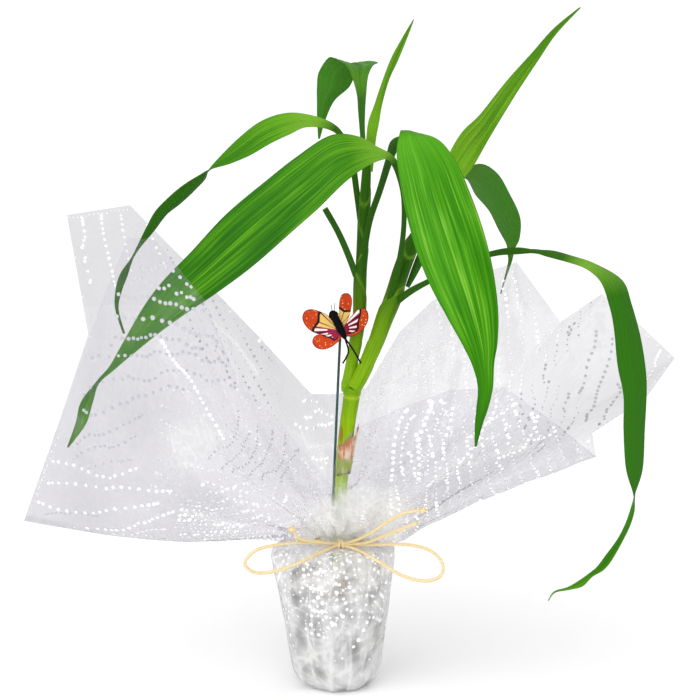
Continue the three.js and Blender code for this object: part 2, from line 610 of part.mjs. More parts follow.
function stones() {
  const draw = random(71);
  const coreShape = new THREE.LatheGeometry(stoneCore.map(([r, z]) => new THREE.Vector2(r, z)), 20);
  coreShape.rotateX(Math.PI / 2);
  const pieces = [coreShape];
  const addStone = (x, y, z, radius) => {
    const stone = new THREE.IcosahedronGeometry(radius, 1);
    stone.rotateX(6 * draw());
    stone.rotateY(6 * draw());
    stone.translate(x, y, z);
    pieces.push(stone);
  };
  for (const { z, count } of stoneLevels) {
    for (let i = 0; i < count; i += 1) {
      const angle = (2 * Math.PI * (i + 0.8 * draw() + z / 11)) / count;
      const radius = smallStone + stoneSpread * draw();
      const height = z + 2.4 * (draw() - 0.5);
      const low = Math.max(height - radius, cupFoot + cupFloor + stoneWallGap);
      const out = Math.min(cupInnerRadius(low), cupInnerRadius(height)) - stoneWallGap - radius;
      addStone(out * Math.cos(angle), out * Math.sin(angle), low + radius, radius);
    }
  }
  for (let i = 0; i < heapStones; i += 1) {
    const angle = spiralTurn * i;
    const out = 4.4 * Math.sqrt(i) + 2;
    const height = heapHeight + 1.5 * draw();
    addStone(out * Math.cos(angle), out * Math.sin(angle), height, smallStone + stoneSpread * draw());
  }
  return joined(pieces)
    .subtract(solidOf(stalk(caneRows, stemSides, 2, gap)))
    .subtract(solidOf(stalk(stickRows, 8, 1, gap)));
}

// The cord: a ring round the neck, a knot in front, two loops and three tails
const tieRadius = neckRadius + neckPleat + filmThick / 2 + gap + cordRadius;
const knot = [1.5, -tieRadius - 1.7, neckHeight];
const leftLoop = [
  knot, [-7, -19, 79], [-18.5, -25, 81], [-31, -30, 81], [-40, -32, 79], [-45.5, -33, 73.5], [-43, -33, 69],
  [-36.5, -32, 67.5], [-26, -31, 69.5], [-16.5, -28, 72.8], [-8, -22, 75.6], knot,
];
const rightLoop = [
  knot, [13.5, -20, 78.5], [26, -26, 80.5], [38, -31, 81], [46.5, -34, 78.5], [51.5, -35, 72.5],
  [50, -35, 66.5], [42.5, -34, 64], [32, -32, 66], [21.5, -29, 71.5], [12, -22, 75.5], knot,
];
const tails = [
  [knot, [9, -22, 81.5], [17, -31, 88], [25, -38, 95.5], [33, -44, 101], [41, -49, 103.5]],
  [knot, [13, -22, 80], [25, -33, 87.5], [38.5, -44, 96]],
  [knot, [-10, -22, 80.5], [-19, -28, 84], [-22.5, -31, 89.5]],
];

function tie() {
  const ring = new THREE.TorusGeometry(tieRadius, cordRadius, 6, 32);
  ring.translate(0, 0, neckHeight);
  const lump = new THREE.IcosahedronGeometry(2.3, 1);
  lump.translate(...knot);
  const loops = [leftLoop, rightLoop].map((points) => cordAlong(points, cordRadius, 6, 22));
  const ends = tails.map((points) => cordAlong(points, cordRadius, 6, 6));
  return joined([ring, lump, ...loops, ...ends]);
}

// The butterfly: outlines of its wings in the plane that faces the front, as [x, z]
const wingPlane = -15.4; // middle of the wings, at their root
const wingLeanBack = 0.28; // the wings bend back to each side of the body
const bodyX = 1;
const wingOutlinePoints = 20;
const bodyRows = [
  [-2.2, -17.4, 194, 0.8], [-1.7, -17.5, 192.8, 2], [0.2, -17.8, 189, 1.9],
  [1.8, -17.7, 185.4, 1.6], [3.6, -17.4, 181.6, 0.7],
];
const feelerRadius = 0.5;
const feelerLines = [
  [[3.2, -17.4, 182.6], [5.2, -19, 176.5], [4.2, -20, 173], [2.4, -20, 170]],
  [[3.2, -17.4, 182.6], [7.6, -19, 176.5], [11.4, -20, 170]],
];
const wings = [
  [
    [1.8, 186.4], [-3.4, 191.8], [-8, 194.4], [-13.2, 195.6], [-16.6, 194], [-17.4, 190.4],
    [-15, 186.2], [-10.4, 183.6], [-4.4, 183.4],
  ],
  [
    [1, 185.6], [-5, 183.8], [-10.6, 182.8], [-12.6, 179.6], [-10.8, 176.6], [-7, 175.8],
    [-2.6, 177.6], [1.4, 181.6],
  ],
  [
    [0, 187.2], [0.4, 193], [0.8, 199.8], [2.2, 203.4], [5.4, 203.6], [7, 200.4],
    [6.2, 194.4], [4.2, 189.2], [2.2, 185.6],
  ],
  [
    [0.4, 186.6], [5.2, 190.8], [9, 195], [12.8, 196.2], [15, 193.4], [14.6, 189],
    [11.4, 184.6], [7, 182.4], [2.4, 183.2],
  ],
];

function wing(outline) {
  const curve = new THREE.CatmullRomCurve3(outline.map(([x, z]) => new THREE.Vector3(x, z, 0)), true);
  const outlinePoints = curve.getPoints(wingOutlinePoints).slice(0, -1);
  const shape = new THREE.Shape(outlinePoints.map((p) => new THREE.Vector2(p.x, p.y)));
  const geometry = new THREE.ExtrudeGeometry(shape, { depth: wingThick, bevelEnabled: false });
  geometry.rotateX(Math.PI / 2);
  geometry.translate(0, wingPlane + wingThick / 2, 0);
  const places = geometry.attributes.position;
  for (let i = 0; i < places.count; i += 1) {
    places.setY(i, places.getY(i) + wingLeanBack * Math.abs(places.getX(i) - bodyX));
  }
  return geometry;
}

function butterflyBody() {
  const trunk = stalk(bodyRows, 8, 2);
  const feelers = feelerLines.map((points) => cordAlong(points, feelerRadius, 5, 6));
  return joined([trunk, ...feelers]);
}

// Every piece with its name and look
const object = new THREE.Group();

function addPiece(name, geometry, color, roughness, metalness = 0) {
  const material = new THREE.MeshStandardMaterial({ color, roughness, metalness });
  const mesh = new THREE.Mesh(geometry, material);
  mesh.name = name;
  object.add(mesh);
}

addPiece('film_wrap', wrap(), 0xe9e9f0, 0.15);
addPiece('cup', cup(), 0xdfe4e6, 0.08);
addPiece('stones', geometryFrom(stones()), 0x8f8c82, 0.7);
addPiece('cane', geometryFrom(caneSolid), 0x8cae1c, 0.45);
addPiece('dry_sheath', drySheath(), 0xa9743a, 0.85);
addPiece('shoot_left', geometryFrom(leftShootSolid), 0x5c9a14, 0.42);
addPiece('shoot_right', geometryFrom(rightShootSolid), 0x6aa815, 0.42);
for (const [name, leaf] of Object.entries(leaves)) {
  addPiece(name, geometryFrom(leafOnStem(leaf)), leaf.color, 0.38);
}
addPiece('tie', geometryFrom(tie()), 0xd8bd84, 0.6);
addPiece('butterfly_stick', stalk(stickRows, 8, 1), 0x123d3c, 0.4);
addPiece('butterfly_wings', geometryFrom(joined(wings.map(wing))), 0xd9541e, 0.5);
addPiece('butterfly_body', geometryFrom(butterflyBody()), 0x111214, 0.6);

export default object;
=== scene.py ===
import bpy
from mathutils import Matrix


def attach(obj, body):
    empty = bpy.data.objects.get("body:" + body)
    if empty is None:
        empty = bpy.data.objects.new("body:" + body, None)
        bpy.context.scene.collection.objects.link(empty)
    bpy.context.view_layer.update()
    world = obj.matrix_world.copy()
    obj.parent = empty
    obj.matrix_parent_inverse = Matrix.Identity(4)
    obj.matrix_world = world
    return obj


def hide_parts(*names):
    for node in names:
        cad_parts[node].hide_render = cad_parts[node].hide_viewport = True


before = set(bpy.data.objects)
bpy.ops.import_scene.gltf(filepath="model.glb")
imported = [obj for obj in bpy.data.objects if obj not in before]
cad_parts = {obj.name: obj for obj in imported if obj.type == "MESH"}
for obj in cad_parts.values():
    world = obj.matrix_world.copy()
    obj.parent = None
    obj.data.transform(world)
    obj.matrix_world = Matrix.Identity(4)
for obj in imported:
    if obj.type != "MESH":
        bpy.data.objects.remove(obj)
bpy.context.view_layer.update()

import math
import random

import bpy
import numpy as np
from mathutils import Vector, noise

# A lucky bamboo in a glass of pebbles, wrapped in dotted film and tied with a cord.
# Lengths in the dictionaries are millimetres unless a note says otherwise.
mm = 0.001
print("frame loaded:", len(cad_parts), "nodes")


# Small tools

def toLinear(code):
    def channel(value):
        return value / 12.92 if value <= 0.04045 else ((value + 0.055) / 1.055) ** 2.4
    return tuple(channel(int(code[i:i + 2], 16) / 255) for i in (1, 3, 5)) + (1.0,)


def addNode(tree, kind, inputs=None, stops=None, **settings):
    node = tree.nodes.new(kind)
    for name, value in settings.items():
        setattr(node, name, value)
    for name, value in (inputs or {}).items():
        if isinstance(value, bpy.types.Node):
            value = value.outputs[0]
        if isinstance(value, bpy.types.NodeSocket):
            tree.links.new(value, node.inputs[name])
        elif isinstance(value, str) and value.startswith("#"):
            node.inputs[name].default_value = toLinear(value)
        else:
            node.inputs[name].default_value = value
    if stops:
        elements = node.color_ramp.elements
        while len(elements) < len(stops):
            elements.new(0.5)
        for element, (place, colour) in zip(elements, stops):
            element.position = place
            element.color = toLinear(colour)
    return node


def newMaterial(name, makeSurface):
    material = bpy.data.materials.new(name)
    material.use_nodes = True
    tree = material.node_tree
    tree.nodes.clear()
    addNode(tree, "ShaderNodeOutputMaterial", {"Surface": makeSurface(tree)})
    return material


def blendRows(a, b, c, d, t):
    return b + 0.5 * ((c - a) * t + (2 * a - 5 * b + 4 * c - d) * t ** 2 + (3 * b - a - 3 * c + d) * t ** 3)


# Rows of numbers at fractional places of a smooth curve through them
def rowsAt(rows, places, closed=False):
    rows, places = np.asarray(rows, float), np.asarray(places, float)
    count = len(rows)
    if closed:
        i = np.floor(places).astype(int)
        four = [rows[(i + k) % count] for k in (-1, 0, 1, 2)]
    else:
        i = np.clip(np.floor(places).astype(int), 0, count - 2)
        four = [rows[np.clip(i + k, 0, count - 1)] for k in (-1, 0, 1, 2)]
    t = (places - i).reshape(places.shape + (1,) * (rows.ndim - 1))
    return blendRows(*four, t)


def smoothStep(value, low, high):
    t = np.clip((value - low) / (high - low), 0, 1)
    return t * t * (3 - 2 * t)


def unit(vectors):
    return vectors / np.maximum(np.linalg.norm(vectors, axis=-1, keepdims=True), 1e-12)


def newPiece(name, points, faces, smooth=True, attributes=None):
    mesh = bpy.data.meshes.new(name)
    mesh.from_pydata([tuple(p) for p in np.asarray(points) * mm], [], faces)
    mesh.polygons.foreach_set("use_smooth", [smooth] * len(mesh.polygons))
    for label, values in (attributes or {}).items():
        values = np.asarray(values, np.float32)
        kind = "FLOAT_VECTOR" if values.ndim == 2 else "FLOAT"
        layer = mesh.attributes.new(label, kind, "POINT")
        layer.data.foreach_set("vector" if values.ndim == 2 else "value", values.ravel())
    mesh.update()
    piece = bpy.data.objects.new(name, mesh)
    bpy.context.scene.collection.objects.link(piece)
    return piece


def finishPiece(piece, material=None, replaces=()):
    if material:
        piece.data.materials.clear()
        piece.data.materials.append(material)
    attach(piece, "root")
    if replaces:
        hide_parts(*replaces)
    return piece


# Faces of a grid of rows by columns; closed joins the last column to the first
def gridFaces(rows, columns, closed=False, start=0, flip=False):
    faces = []
    for i in range(rows - 1):
        for j in range(columns if closed else columns - 1):
            a, b = start + i * columns + j, start + i * columns + (j + 1) % columns
            face = (a, b, b + columns, a + columns)
            faces.append(face[::-1] if flip else face)
    return faces


# A closed thin body between two grids of points, the first one on its outer side
def slabFaces(rows, columns, closed=False):
    inner = rows * columns
    faces = gridFaces(rows, columns, closed) + gridFaces(rows, columns, closed, inner, True)
    last = (rows - 1) * columns
    for j in range(columns if closed else columns - 1):
        k = (j + 1) % columns
        faces.append((last + j, last + k, last + k + inner, last + j + inner))
        faces.append((k, j, j + inner, k + inner))
    if not closed:
        for i in range(rows - 1):
            a, b = i * columns, i * columns + columns - 1
            faces.append((a, a + columns, a + columns + inner, a + inner))
            faces.append((b + columns, b, b + inner, b + columns + inner))
    return faces


# Two fans that close a grid of rows round a tube, with one more point at its foot and one at its top
def capFaces(rows, sides):
    faces = []
    foot, top, last = rows * sides, rows * sides + 1, (rows - 1) * sides
    for j in range(sides):
        k = (j + 1) % sides
        faces += [(foot, k, j), (top, last + j, last + k)]
    return faces


# A tube along points with a radius at each; shape adds to the radius by place along and angle
def tubeGrid(points, radii, sides, shape=None):
    points = np.asarray(points, float)
    along = unit(np.gradient(points, axis=0))
    side = np.cross(along[0], (0.0, 1.0, 0.0))
    if np.linalg.norm(side) < 0.1:
        side = np.cross(along[0], (1.0, 0.0, 0.0))
    angles = np.linspace(0, 2 * math.pi, sides, endpoint=False)
    grid = np.empty((len(points), sides, 3))
    for i, (p, way) in enumerate(zip(points, along)):
        side = unit(side - way * np.dot(side, way))  # carried along, so the tube doesn't twist
        front = np.cross(way, side)
        for j, angle in enumerate(angles):
            out = side * math.cos(angle) + front * math.sin(angle)
            extra = shape(i, angle, out) if shape else 0
            grid[i, j] = p + out * (radii[i] + extra)
    return grid


def tubePiece(name, points, radii, sides, shape=None, attributes=None):
    grid = tubeGrid(points, radii, sides, shape)
    rows = len(grid)
    faces = gridFaces(rows, sides, True) + capFaces(rows, sides)
    vertices = np.concatenate([grid.reshape(-1, 3), [points[0], points[-1]]])
    lengths = np.concatenate([[0], np.cumsum(np.linalg.norm(np.diff(points, axis=0), axis=1))])
    values = {
        "along": np.concatenate([np.repeat(lengths, sides), [0, lengths[-1]]]) * mm,
        "round": np.concatenate([np.tile(np.arange(sides) / sides, rows), [0, 0]]),
    }
    return newPiece(name, vertices, faces, attributes=values | (attributes or {}))


def joinPieces(name, pieces):
    first = pieces[0]
    with bpy.context.temp_override(active_object=first, object=first, selected_editable_objects=pieces):
        bpy.ops.object.join()
    first.name = first.data.name = name
    return first


# Camera, lights and floor

# place in metres, tilt in degrees
cameraLook = {"place": (0.006, -0.900, 0.316), "tiltDown": 9, "lens": 93.7253, "sensor": 36}

cameraData = bpy.data.cameras.new("photoCamera")
cameraData.lens = cameraLook["lens"]
cameraData.sensor_width = cameraLook["sensor"]
photoCamera = bpy.data.objects.new("photoCamera", cameraData)
photoCamera.location = cameraLook["place"]
photoCamera.rotation_euler = (math.radians(90 - cameraLook["tiltDown"]), 0, 0)
bpy.context.scene.collection.objects.link(photoCamera)
bpy.context.scene.camera = photoCamera
bpy.context.scene.view_settings.view_transform = "Standard"

studio = {
    "floorRadius": 1500, "floorSides": 96, "floorColour": "#fdfdfd", "skySeen": 1.08, "skyBase": 0.61,
    "keyPower": 1.66, "keyWay": (-0.3, -0.72, 0.62), "keyInner": 0.95, "keyOuter": 0.55,
    "rimPower": 0.55, "rimWay": (0.7, 0.55, 0.45), "rimInner": 0.95, "rimOuter": 0.7,
}


def floorSurface(tree):  # seamless studio paper: matt and even
    return addNode(tree, "ShaderNodeBsdfDiffuse", {"Color": studio["floorColour"]})


floorAngles = np.linspace(0, 2 * math.pi, studio["floorSides"], endpoint=False)
floorCircle = np.stack([np.cos(floorAngles), np.sin(floorAngles), 0 * floorAngles], -1)
studioFloor = newPiece(
    "studioFloor", floorCircle * studio["floorRadius"], [tuple(range(studio["floorSides"]))], smooth=False)
studioFloor.data.materials.append(newMaterial("seamlessPaper", floorSurface))

world = bpy.data.worlds.new("whiteStudio")
bpy.context.scene.world = world
world.use_nodes = True
sky = world.node_tree
sky.nodes.clear()
skyWay = addNode(sky, "ShaderNodeTexCoord").outputs["Generated"]
skyLight = studio["skyBase"]
for lamp in ("key", "rim"):  # soft bright areas of the studio's walls
    way = Vector(studio[lamp + "Way"]).normalized()
    near = addNode(sky, "ShaderNodeVectorMath", {0: skyWay, 1: tuple(way)}, operation="DOT_PRODUCT")
    glow = addNode(sky, "ShaderNodeMapRange", {
        "Value": near.outputs["Value"], "From Min": studio[lamp + "Outer"],
        "From Max": studio[lamp + "Inner"], "To Max": studio[lamp + "Power"]},
        interpolation_type="SMOOTHSTEP")
    skyLight = addNode(sky, "ShaderNodeMath", {0: skyLight, 1: glow}, operation="ADD")
skyPath = addNode(sky, "ShaderNodeLightPath")
skyStrength = addNode(sky, "ShaderNodeMix", {
    0: skyPath.outputs["Is Camera Ray"], 2: skyLight, 3: studio["skySeen"]})
skyBack = addNode(sky, "ShaderNodeBackground", {"Color": "#ffffff", "Strength": skyStrength})
addNode(sky, "ShaderNodeOutputWorld", {"Surface": skyBack})
bpy.context.scene.cycles.transparent_max_bounces = 40  # the film lies many layers deep
print("camera and studio ready")


# The film wrap

filmLook = {
    "columns": 432, "pouchRows": 60, "collarRows": 104,
    "neckRadius": 10.4, "neckHeight": 77.5, "neckTop": 80.1, "nearRadius": 30,
    "neckPleat": 0.95, "collarPleat": 3.4, "coarsePleats": 19, "finePleats": 41, "coarseShare": 0.62,
    "crumpleCell": 15, "crumpleDepth": 1.5, "collarCreased": 0.6,
    "pouchCell": 16, "pouchDepth": 0.8, "pouchCreased": 0.4, "creaseLine": (0.01, 0.06),
    "foldWidth": 0.9, "creaseWidth": 1.5, "foldDepth": 0.5, "pouchFoldWhiteAndHighlight": 0.8,
    "flatNeck": 95,  # how far the neck is from the middle of the flat sheet
    # share of white: collar, pouch, its foot and its right side, and the gathers at the neck
    "cloud": 0.014, "cloudPouch": 0.67, "cloudFoot": 0.8, "cloudSide": 0.14, "cloudNeck": 0.92,
    "cloudMost": 0.93, "tornPouch": 0.9, "tornCollar": 0.5, "tornPouchSize": 8, "tornCollarSize": 14,
    # the gathers reach higher in front: collar row and width there, and how much higher
    "gathersRow": 17.3, "gathersRows": 1.7, "gathersHigher": 1.6,
    # where they hide the cane's foot: middle and half width from side to side, top, and the painted shade
    # between their folds: its middle, its half width and its depth
    "gathersAt": 12, "gathersWide": 26, "gathersTop": 119, "foldShadeAt": 6, "foldShadeWide": 13, "gathersShade": 0.15,
    "clear": "#f5f4f7", "haze": "#fffefe", "creased": 0.5, "crackled": 0.28, "scatteredOn": 0.42,
    "rippleSize": 15, "rippleBend": 8, "wrinkleSize": 9, "facetSize": 2.6, "facetShade": 0.18,
    "ior": 1.49, "roughness": 0.16, "shineMost": 0.05,
}
# from the base to the neck: radius in front and behind, to the left and to the right, and height
pouchRings = [
    [0.5, 0.5, 0.5, 0.25], [13.2, 14.2, 13.2, 0.3], [15.2, 16.6, 15.2, 0.8], [20.2, 22.6, 20, 5.4],
    [22.3, 25, 22, 14], [24.3, 28, 24.6, 33], [26.4, 31.2, 27, 53], [27, 32.7, 28, 63],
    [26.6, 33, 28.2, 70.2], [22.5, 29, 25.4, 73.8], [12.8, 14.4, 13.8, 75.8], [10.4, 10.4, 10.4, 76.8],
    [10.4, 10.4, 10.4, 80.1],
]
# at each of those rings: depth of the pleats, how crumpled the film is, and how flat its sides are
pouchPleat = [0, 0, 0.1, 0.2, 0.1, 0.15, 0.35, 0.8, 1.2, 1.4, 1.0, 0.95, 0.95]
pouchCrumple = [0, 0.1, 0.15, 0.35, 0.7, 0.9, 1, 1, 1, 0.7, 0.2, 0, 0]
pouchFacet = [0, 1, 1, 0.7, 0.6, 0.35, 0.15, 0, 0, 0, 0, 0, 0]
facets = {"count": 8, "turn": 0.2, "depth": 0.055}
# long folds of the pouch: angle in degrees at the foot and at the top, from and to in height
pouchFolds = [
    (-101, -97, 0, 30), (-72, -75, 0, 34), (-58, -47, 14, 36), (-122, -128, 2, 26),
    (-84, -60, 26, 31), (-64, -70, 36, 60),
]
# clockwise from the front: height of the near ring, a point halfway out, a point on the cut edge
collarRows = [
    [90, [-1, -38, 95], [-3, -60, 119]], [91, [-15.5, -46, 108], [-22, -72, 145]],
    [92, [-33, -54, 124.5], [-47.5, -78, 177]], [92, [-46, -58, 132.5], [-60, -76, 208.5]],
    [91, [-58, -58, 136], [-83, -72, 236]], [88, [-68, -56, 132], [-96, -66, 236]],
    [84, [-77.5, -52, 119], [-109, -60, 206.5]], [80, [-87.5, -48, 103.5], [-130.5, -50, 151.5]],
    [77.5, [-87, -34, 83.5], [-155, -24, 92]], [78.5, [-87.5, -6, 87.5], [-142, 6, 134]],
    [80, [-84, 14, 103.5], [-128.5, 26, 177.5]], [84, [-80, 30, 126.5], [-140.5, 42, 237.5]],
    [88, [-70.5, 44, 140], [-109.5, 56, 241.5]], [90, [-55, 48, 128.5], [-86, 60, 216.5]],
    [91, [-39, 48, 117.5], [-65.5, 62, 195]], [91, [-26, 44, 107.5], [-41, 60, 169.5]],
    [91, [-11, 36, 99.5], [-14.5, 52, 141.5]], [91, [-0.5, 30, 97.5], [-1, 44, 143]],
    [91, [10, 32, 99.5], [14.5, 46, 146]], [92, [19, 38, 109], [32, 54, 174.5]],
    [92, [32.5, 40, 116.5], [49, 56, 190.5]], [92, [45.5, 42, 124], [73.5, 56, 205]],
    [90, [58.5, 40, 130], [93.5, 51, 212]], [88, [68.5, 32, 126], [116, 44, 181.5]],
    [86, [83.5, 22, 128], [135.5, 30, 198]], [84, [87.5, 10, 125.5], [153.5, 16, 183.5]],
    [82, [89, -2, 120.5], [168.5, 0, 169.5]], [80.5, [83.5, -12, 116], [152.5, -14, 152]],
    [79.5, [75, -20, 111.5], [124.5, -26, 136.5]], [79, [70, -28, 102.5], [125.5, -34, 126.5]],
    [80, [60.5, -38, 111], [104.5, -46, 145]], [85, [49, -46, 118.5], [79, -56, 164.5]],
    [89, [35.5, -48, 118], [53, -60, 164]], [91, [20.5, -46, 113.5], [28.5, -58, 154.5]],
    [91, [7, -42, 107], [8, -54, 144.5]], [91, [2, -40, 100.5], [0, -54, 135.5]],
]
# how crumpled the film is at each of those rows, 0 smooth
collarCrumple = [
    1, 0.8, 0.6, 0.45, 0.35, 0.3, 0.35, 0.45, 0.4, 0.3, 0.25, 0.15, 0.15, 0.25, 0.4, 0.6, 0.9, 1,
    1, 0.8, 0.7, 0.6, 0.55, 0.6, 0.4, 0.3, 0.35, 0.5, 0.8, 0.9, 0.7, 0.55, 0.6, 0.8, 1, 1,
]
# painted shade: how much light the film lets through at each of those rows, less where it leans away from
# the light
collarShade = [
    1, 1, 1, 1, 1, 1, 1, 0.98, 0.88, 0.79, 0.78, 0.79, 0.8, 0.78, 0.71, 0.67, 0.7, 0.74,
    0.78, 0.8, 0.79, 0.8, 0.8, 0.83, 0.84, 0.78, 0.72, 0.79, 0.84, 0.87, 0.89, 0.86, 0.86, 0.88, 0.93, 0.97,
]
# patches of the collar: row, place outwards, size, white added there as a painted highlight of glare, and
# light taken away there as painted shade
collarPatches = [
    (4.9, 2.06, 12, 0.5, 0), (5.8, 2.34, 15, 0, 0.07), (6.0, 1.75, 15, 0, 0.1), (7.7, 2.6, 18, 0, 0.04),
]
# sharp folds of the collar, whitened partly as creased film and partly as painted highlight: (row, place
# outwards) along each, and how white
collarFolds = [
    ([(4.9, 2.52), (4.3, 2.28), (4.0, 2.14), (3.8, 1.93)], 0.5),
    ([(13.6, 2.63), (14.1, 2.63), (14.3, 2.59), (14.6, 2.56)], 0.8),
    ([(2.0, 2.98), (1.4, 2.9), (0.8, 2.8), (0.1, 2.62)], 0.35),
    ([(6.7, 1.8), (6.7, 1.57), (7.0, 1.4)], 0.9),
    ([(18.4, 2.71), (19.8, 2.53), (21.0, 2.53)], 1.0), ([(18.7, 2.62), (20.0, 2.42), (21.2, 2.35)], 0.6),
    ([(32.6, 1.88), (30.8, 2.18), (29.8, 2.7)], 0.6), ([(31.0, 1.99), (30.1, 2.6)], 0.7),
    ([(22.0, 2.86), (22.2, 2.81), (22.4, 2.78)], 0.9), ([(31.1, 1.33), (29.6, 1.99), (29.1, 2.9)], 0.5),
    ([(15.75, 2.31), (16.2, 2.41), (16.9, 2.44)], 1.1),
    ([(15.65, 2.41), (15.65, 2.37), (15.75, 2.31)], 0.7),
]


def triangleWave(x):
    return np.arcsin(np.sin(x)) * 2 / math.pi


def pleatWave(turn):  # turn runs 0 to 1 round the wrap; pleats of uneven widths
    bent = turn + 0.008 * np.sin(2 * math.pi * 5 * turn + 1) + 0.005 * np.sin(2 * math.pi * 11 * turn)
    coarse = triangleWave(2 * math.pi * filmLook["coarsePleats"] * bent)
    fine = triangleWave(2 * math.pi * filmLook["finePleats"] * bent + 0.7)
    return coarse, fine


def gridNormals(grid):
    up = np.gradient(grid, axis=0)
    padded = np.concatenate([grid[:, -1:], grid, grid[:, :1]], axis=1)
    across = padded[:, 2:] - padded[:, :-2]
    return unit(np.cross(across, up))


# Crinkles of a stiff film: depth of the facet at each place, and how near the crease round it is
def crinkle(places, cell):
    depth, line = np.empty(len(places)), np.empty(len(places))
    for i, place in enumerate(places):
        distances = noise.voronoi(Vector(place) / cell)[0]
        depth[i] = distances[0]
        line[i] = distances[1] - distances[0]
    return depth - 0.45, line


def makeFilm():
    look = filmLook
    count, pouchCount = look["columns"], look["pouchRows"]
    turn = np.arange(count) / count
    # anticlockwise from above, so the faces look outwards
    angle = -math.pi / 2 + 2 * math.pi * turn
    around = len(collarRows)
    place = (1 - turn) * around % around
    coarse, fine = pleatWave(turn)

    ringPlace = np.linspace(0, len(pouchRings) - 1, pouchCount)
    rings = rowsAt(pouchRings, ringPlace)
    ringPleat = rowsAt(np.array(pouchPleat)[:, None], ringPlace)
    side = np.where(np.cos(angle) < 0, rings[:, 1:2], rings[:, 2:3])
    plain = rings[:, :1] + (side - rings[:, :1]) * np.abs(np.cos(angle)) ** 3
    sector = 2 * math.pi / facets["count"]
    within = (angle + facets["turn"]) % sector - sector / 2
    polygon = math.cos(sector / 2) / np.cos(within) * (1 + facets["depth"] / 2) - 1
    facet = rowsAt(np.array(pouchFacet, float)[:, None], ringPlace)
    radius = plain * (1 + facet * polygon) + np.maximum(ringPleat, 0) * (0.6 * coarse + 0.4 * fine)
    pouch = np.stack([radius * np.cos(angle), radius * np.sin(angle), rings[:, 3:] + 0 * angle], -1)

    near = rowsAt(np.array([[row[0]] for row in collarRows]), place, True)[:, 0]
    half = rowsAt(np.array([row[1] for row in collarRows], float), place, True)
    edges = np.array([row[2] for row in collarRows], float)
    i = np.floor(place).astype(int)
    share = (place - i)[:, None]
    edge = edges[i % len(edges)] * (1 - share) + edges[(i + 1) % len(edges)] * share
    circle = np.stack([np.cos(angle), np.sin(angle)], -1)
    below = np.column_stack([circle * look["neckRadius"], np.full(count, look["neckHeight"])])
    neck = np.column_stack([circle * look["neckRadius"], np.full(count, look["neckTop"])])
    nearRing = np.column_stack([circle * look["nearRadius"], near])
    strips = []
    outs = 3 * (np.arange(1, look["collarRows"] + 1) / look["collarRows"]) ** 1.15
    for u in outs:
        if u <= 1:
            strips.append(blendRows(below, neck, nearRing, half, u))
        elif u <= 2:
            strips.append(blendRows(neck, nearRing, half, edge, u - 1))
        else:
            strips.append(blendRows(nearRing, half, edge, edge, u - 2))
    grid = np.concatenate([pouch, np.array(strips)])
    outAt = np.concatenate([np.full(pouchCount, -1.0), outs])

    # where each point lay on the flat sheet
    strides = np.linalg.norm(np.diff(grid, axis=0), axis=2)
    lengths = np.concatenate([np.zeros((1, count)), np.cumsum(strides, axis=0)])
    atNeck = lengths[pouchCount]
    flatOut = lengths + (look["flatNeck"] - atNeck)[None]
    flatOut[:pouchCount] = lengths[:pouchCount] * (look["flatNeck"] / atNeck)[None]
    rim = np.linalg.norm(np.roll(edge, -1, 0) - edge, axis=1) / flatOut[-1]
    flatAngle = 2 * math.pi * np.concatenate([[0], np.cumsum(rim)[:-1]]) / rim.sum()

    # pleats stand out of the collar and die away towards its edge
    normals = gridNormals(grid)
    opening = smoothStep(outAt, 0, 0.7)
    dying = 1 - smoothStep(outAt, 1.1, 2.9)
    fineDying = 1 - smoothStep(outAt, 0.4, 1.5)
    height = (look["neckPleat"] + (look["collarPleat"] - look["neckPleat"]) * opening)
    height = np.where(outAt < 0, 0, height)
    share = look["coarseShare"]
    wave = share * coarse[None] * dying[:, None] + (1 - share) * fine[None] * fineDying[:, None]
    grid = grid + normals * (height[:, None] * wave)[..., None]

    # crinkles, deeper where the film was squeezed
    crumple = rowsAt(np.array(collarCrumple)[:, None], place, True)[:, 0]
    ringCrumple = rowsAt(np.array(pouchCrumple)[:, None], ringPlace)[:, 0]
    x, y = flatOut * np.cos(flatAngle), flatOut * np.sin(flatAngle)
    flat = np.stack([x, y, 0 * x], -1)
    creases = np.zeros(grid.shape[:2])
    normals = gridNormals(grid)
    depthA, lineA = crinkle(grid[:pouchCount].reshape(-1, 3), look["pouchCell"])
    depthA, lineA = depthA.reshape(pouchCount, count), lineA.reshape(pouchCount, count)
    pushed = depthA * ringCrumple[:, None] * look["pouchDepth"]
    grid[:pouchCount] += normals[:pouchCount] * pushed[..., None]
    creaseWhiteAndHighlight = 1 - smoothStep(lineA, *look["creaseLine"])
    creases[:pouchCount] = creaseWhiteAndHighlight * ringCrumple[:, None] * look["pouchCreased"]
    depthB, lineB = crinkle(flat[pouchCount:].reshape(-1, 3), look["crumpleCell"])
    depthB, lineB = depthB.reshape(-1, count), lineB.reshape(-1, count)
    fading = smoothStep(outAt[pouchCount:], 0.3, 1.0) * (1 - 0.5 * smoothStep(outAt[pouchCount:], 2.0, 3.0))
    amount = crumple[None] * fading[:, None]
    grid[pouchCount:] += normals[pouchCount:] * (depthB * amount * look["crumpleDepth"])[..., None]
    creases[pouchCount:] = (1 - smoothStep(lineB, *look["creaseLine"])) * amount * look["collarCreased"]

    # sharp folds stand out a little and are whitened, partly as creased film and partly as painted highlight
    def collarSpot(collarRow, out):
        row = pouchCount + int(np.argmin(np.abs(outs - out)))
        return grid[row, int(np.argmin(np.abs(place - collarRow)))]

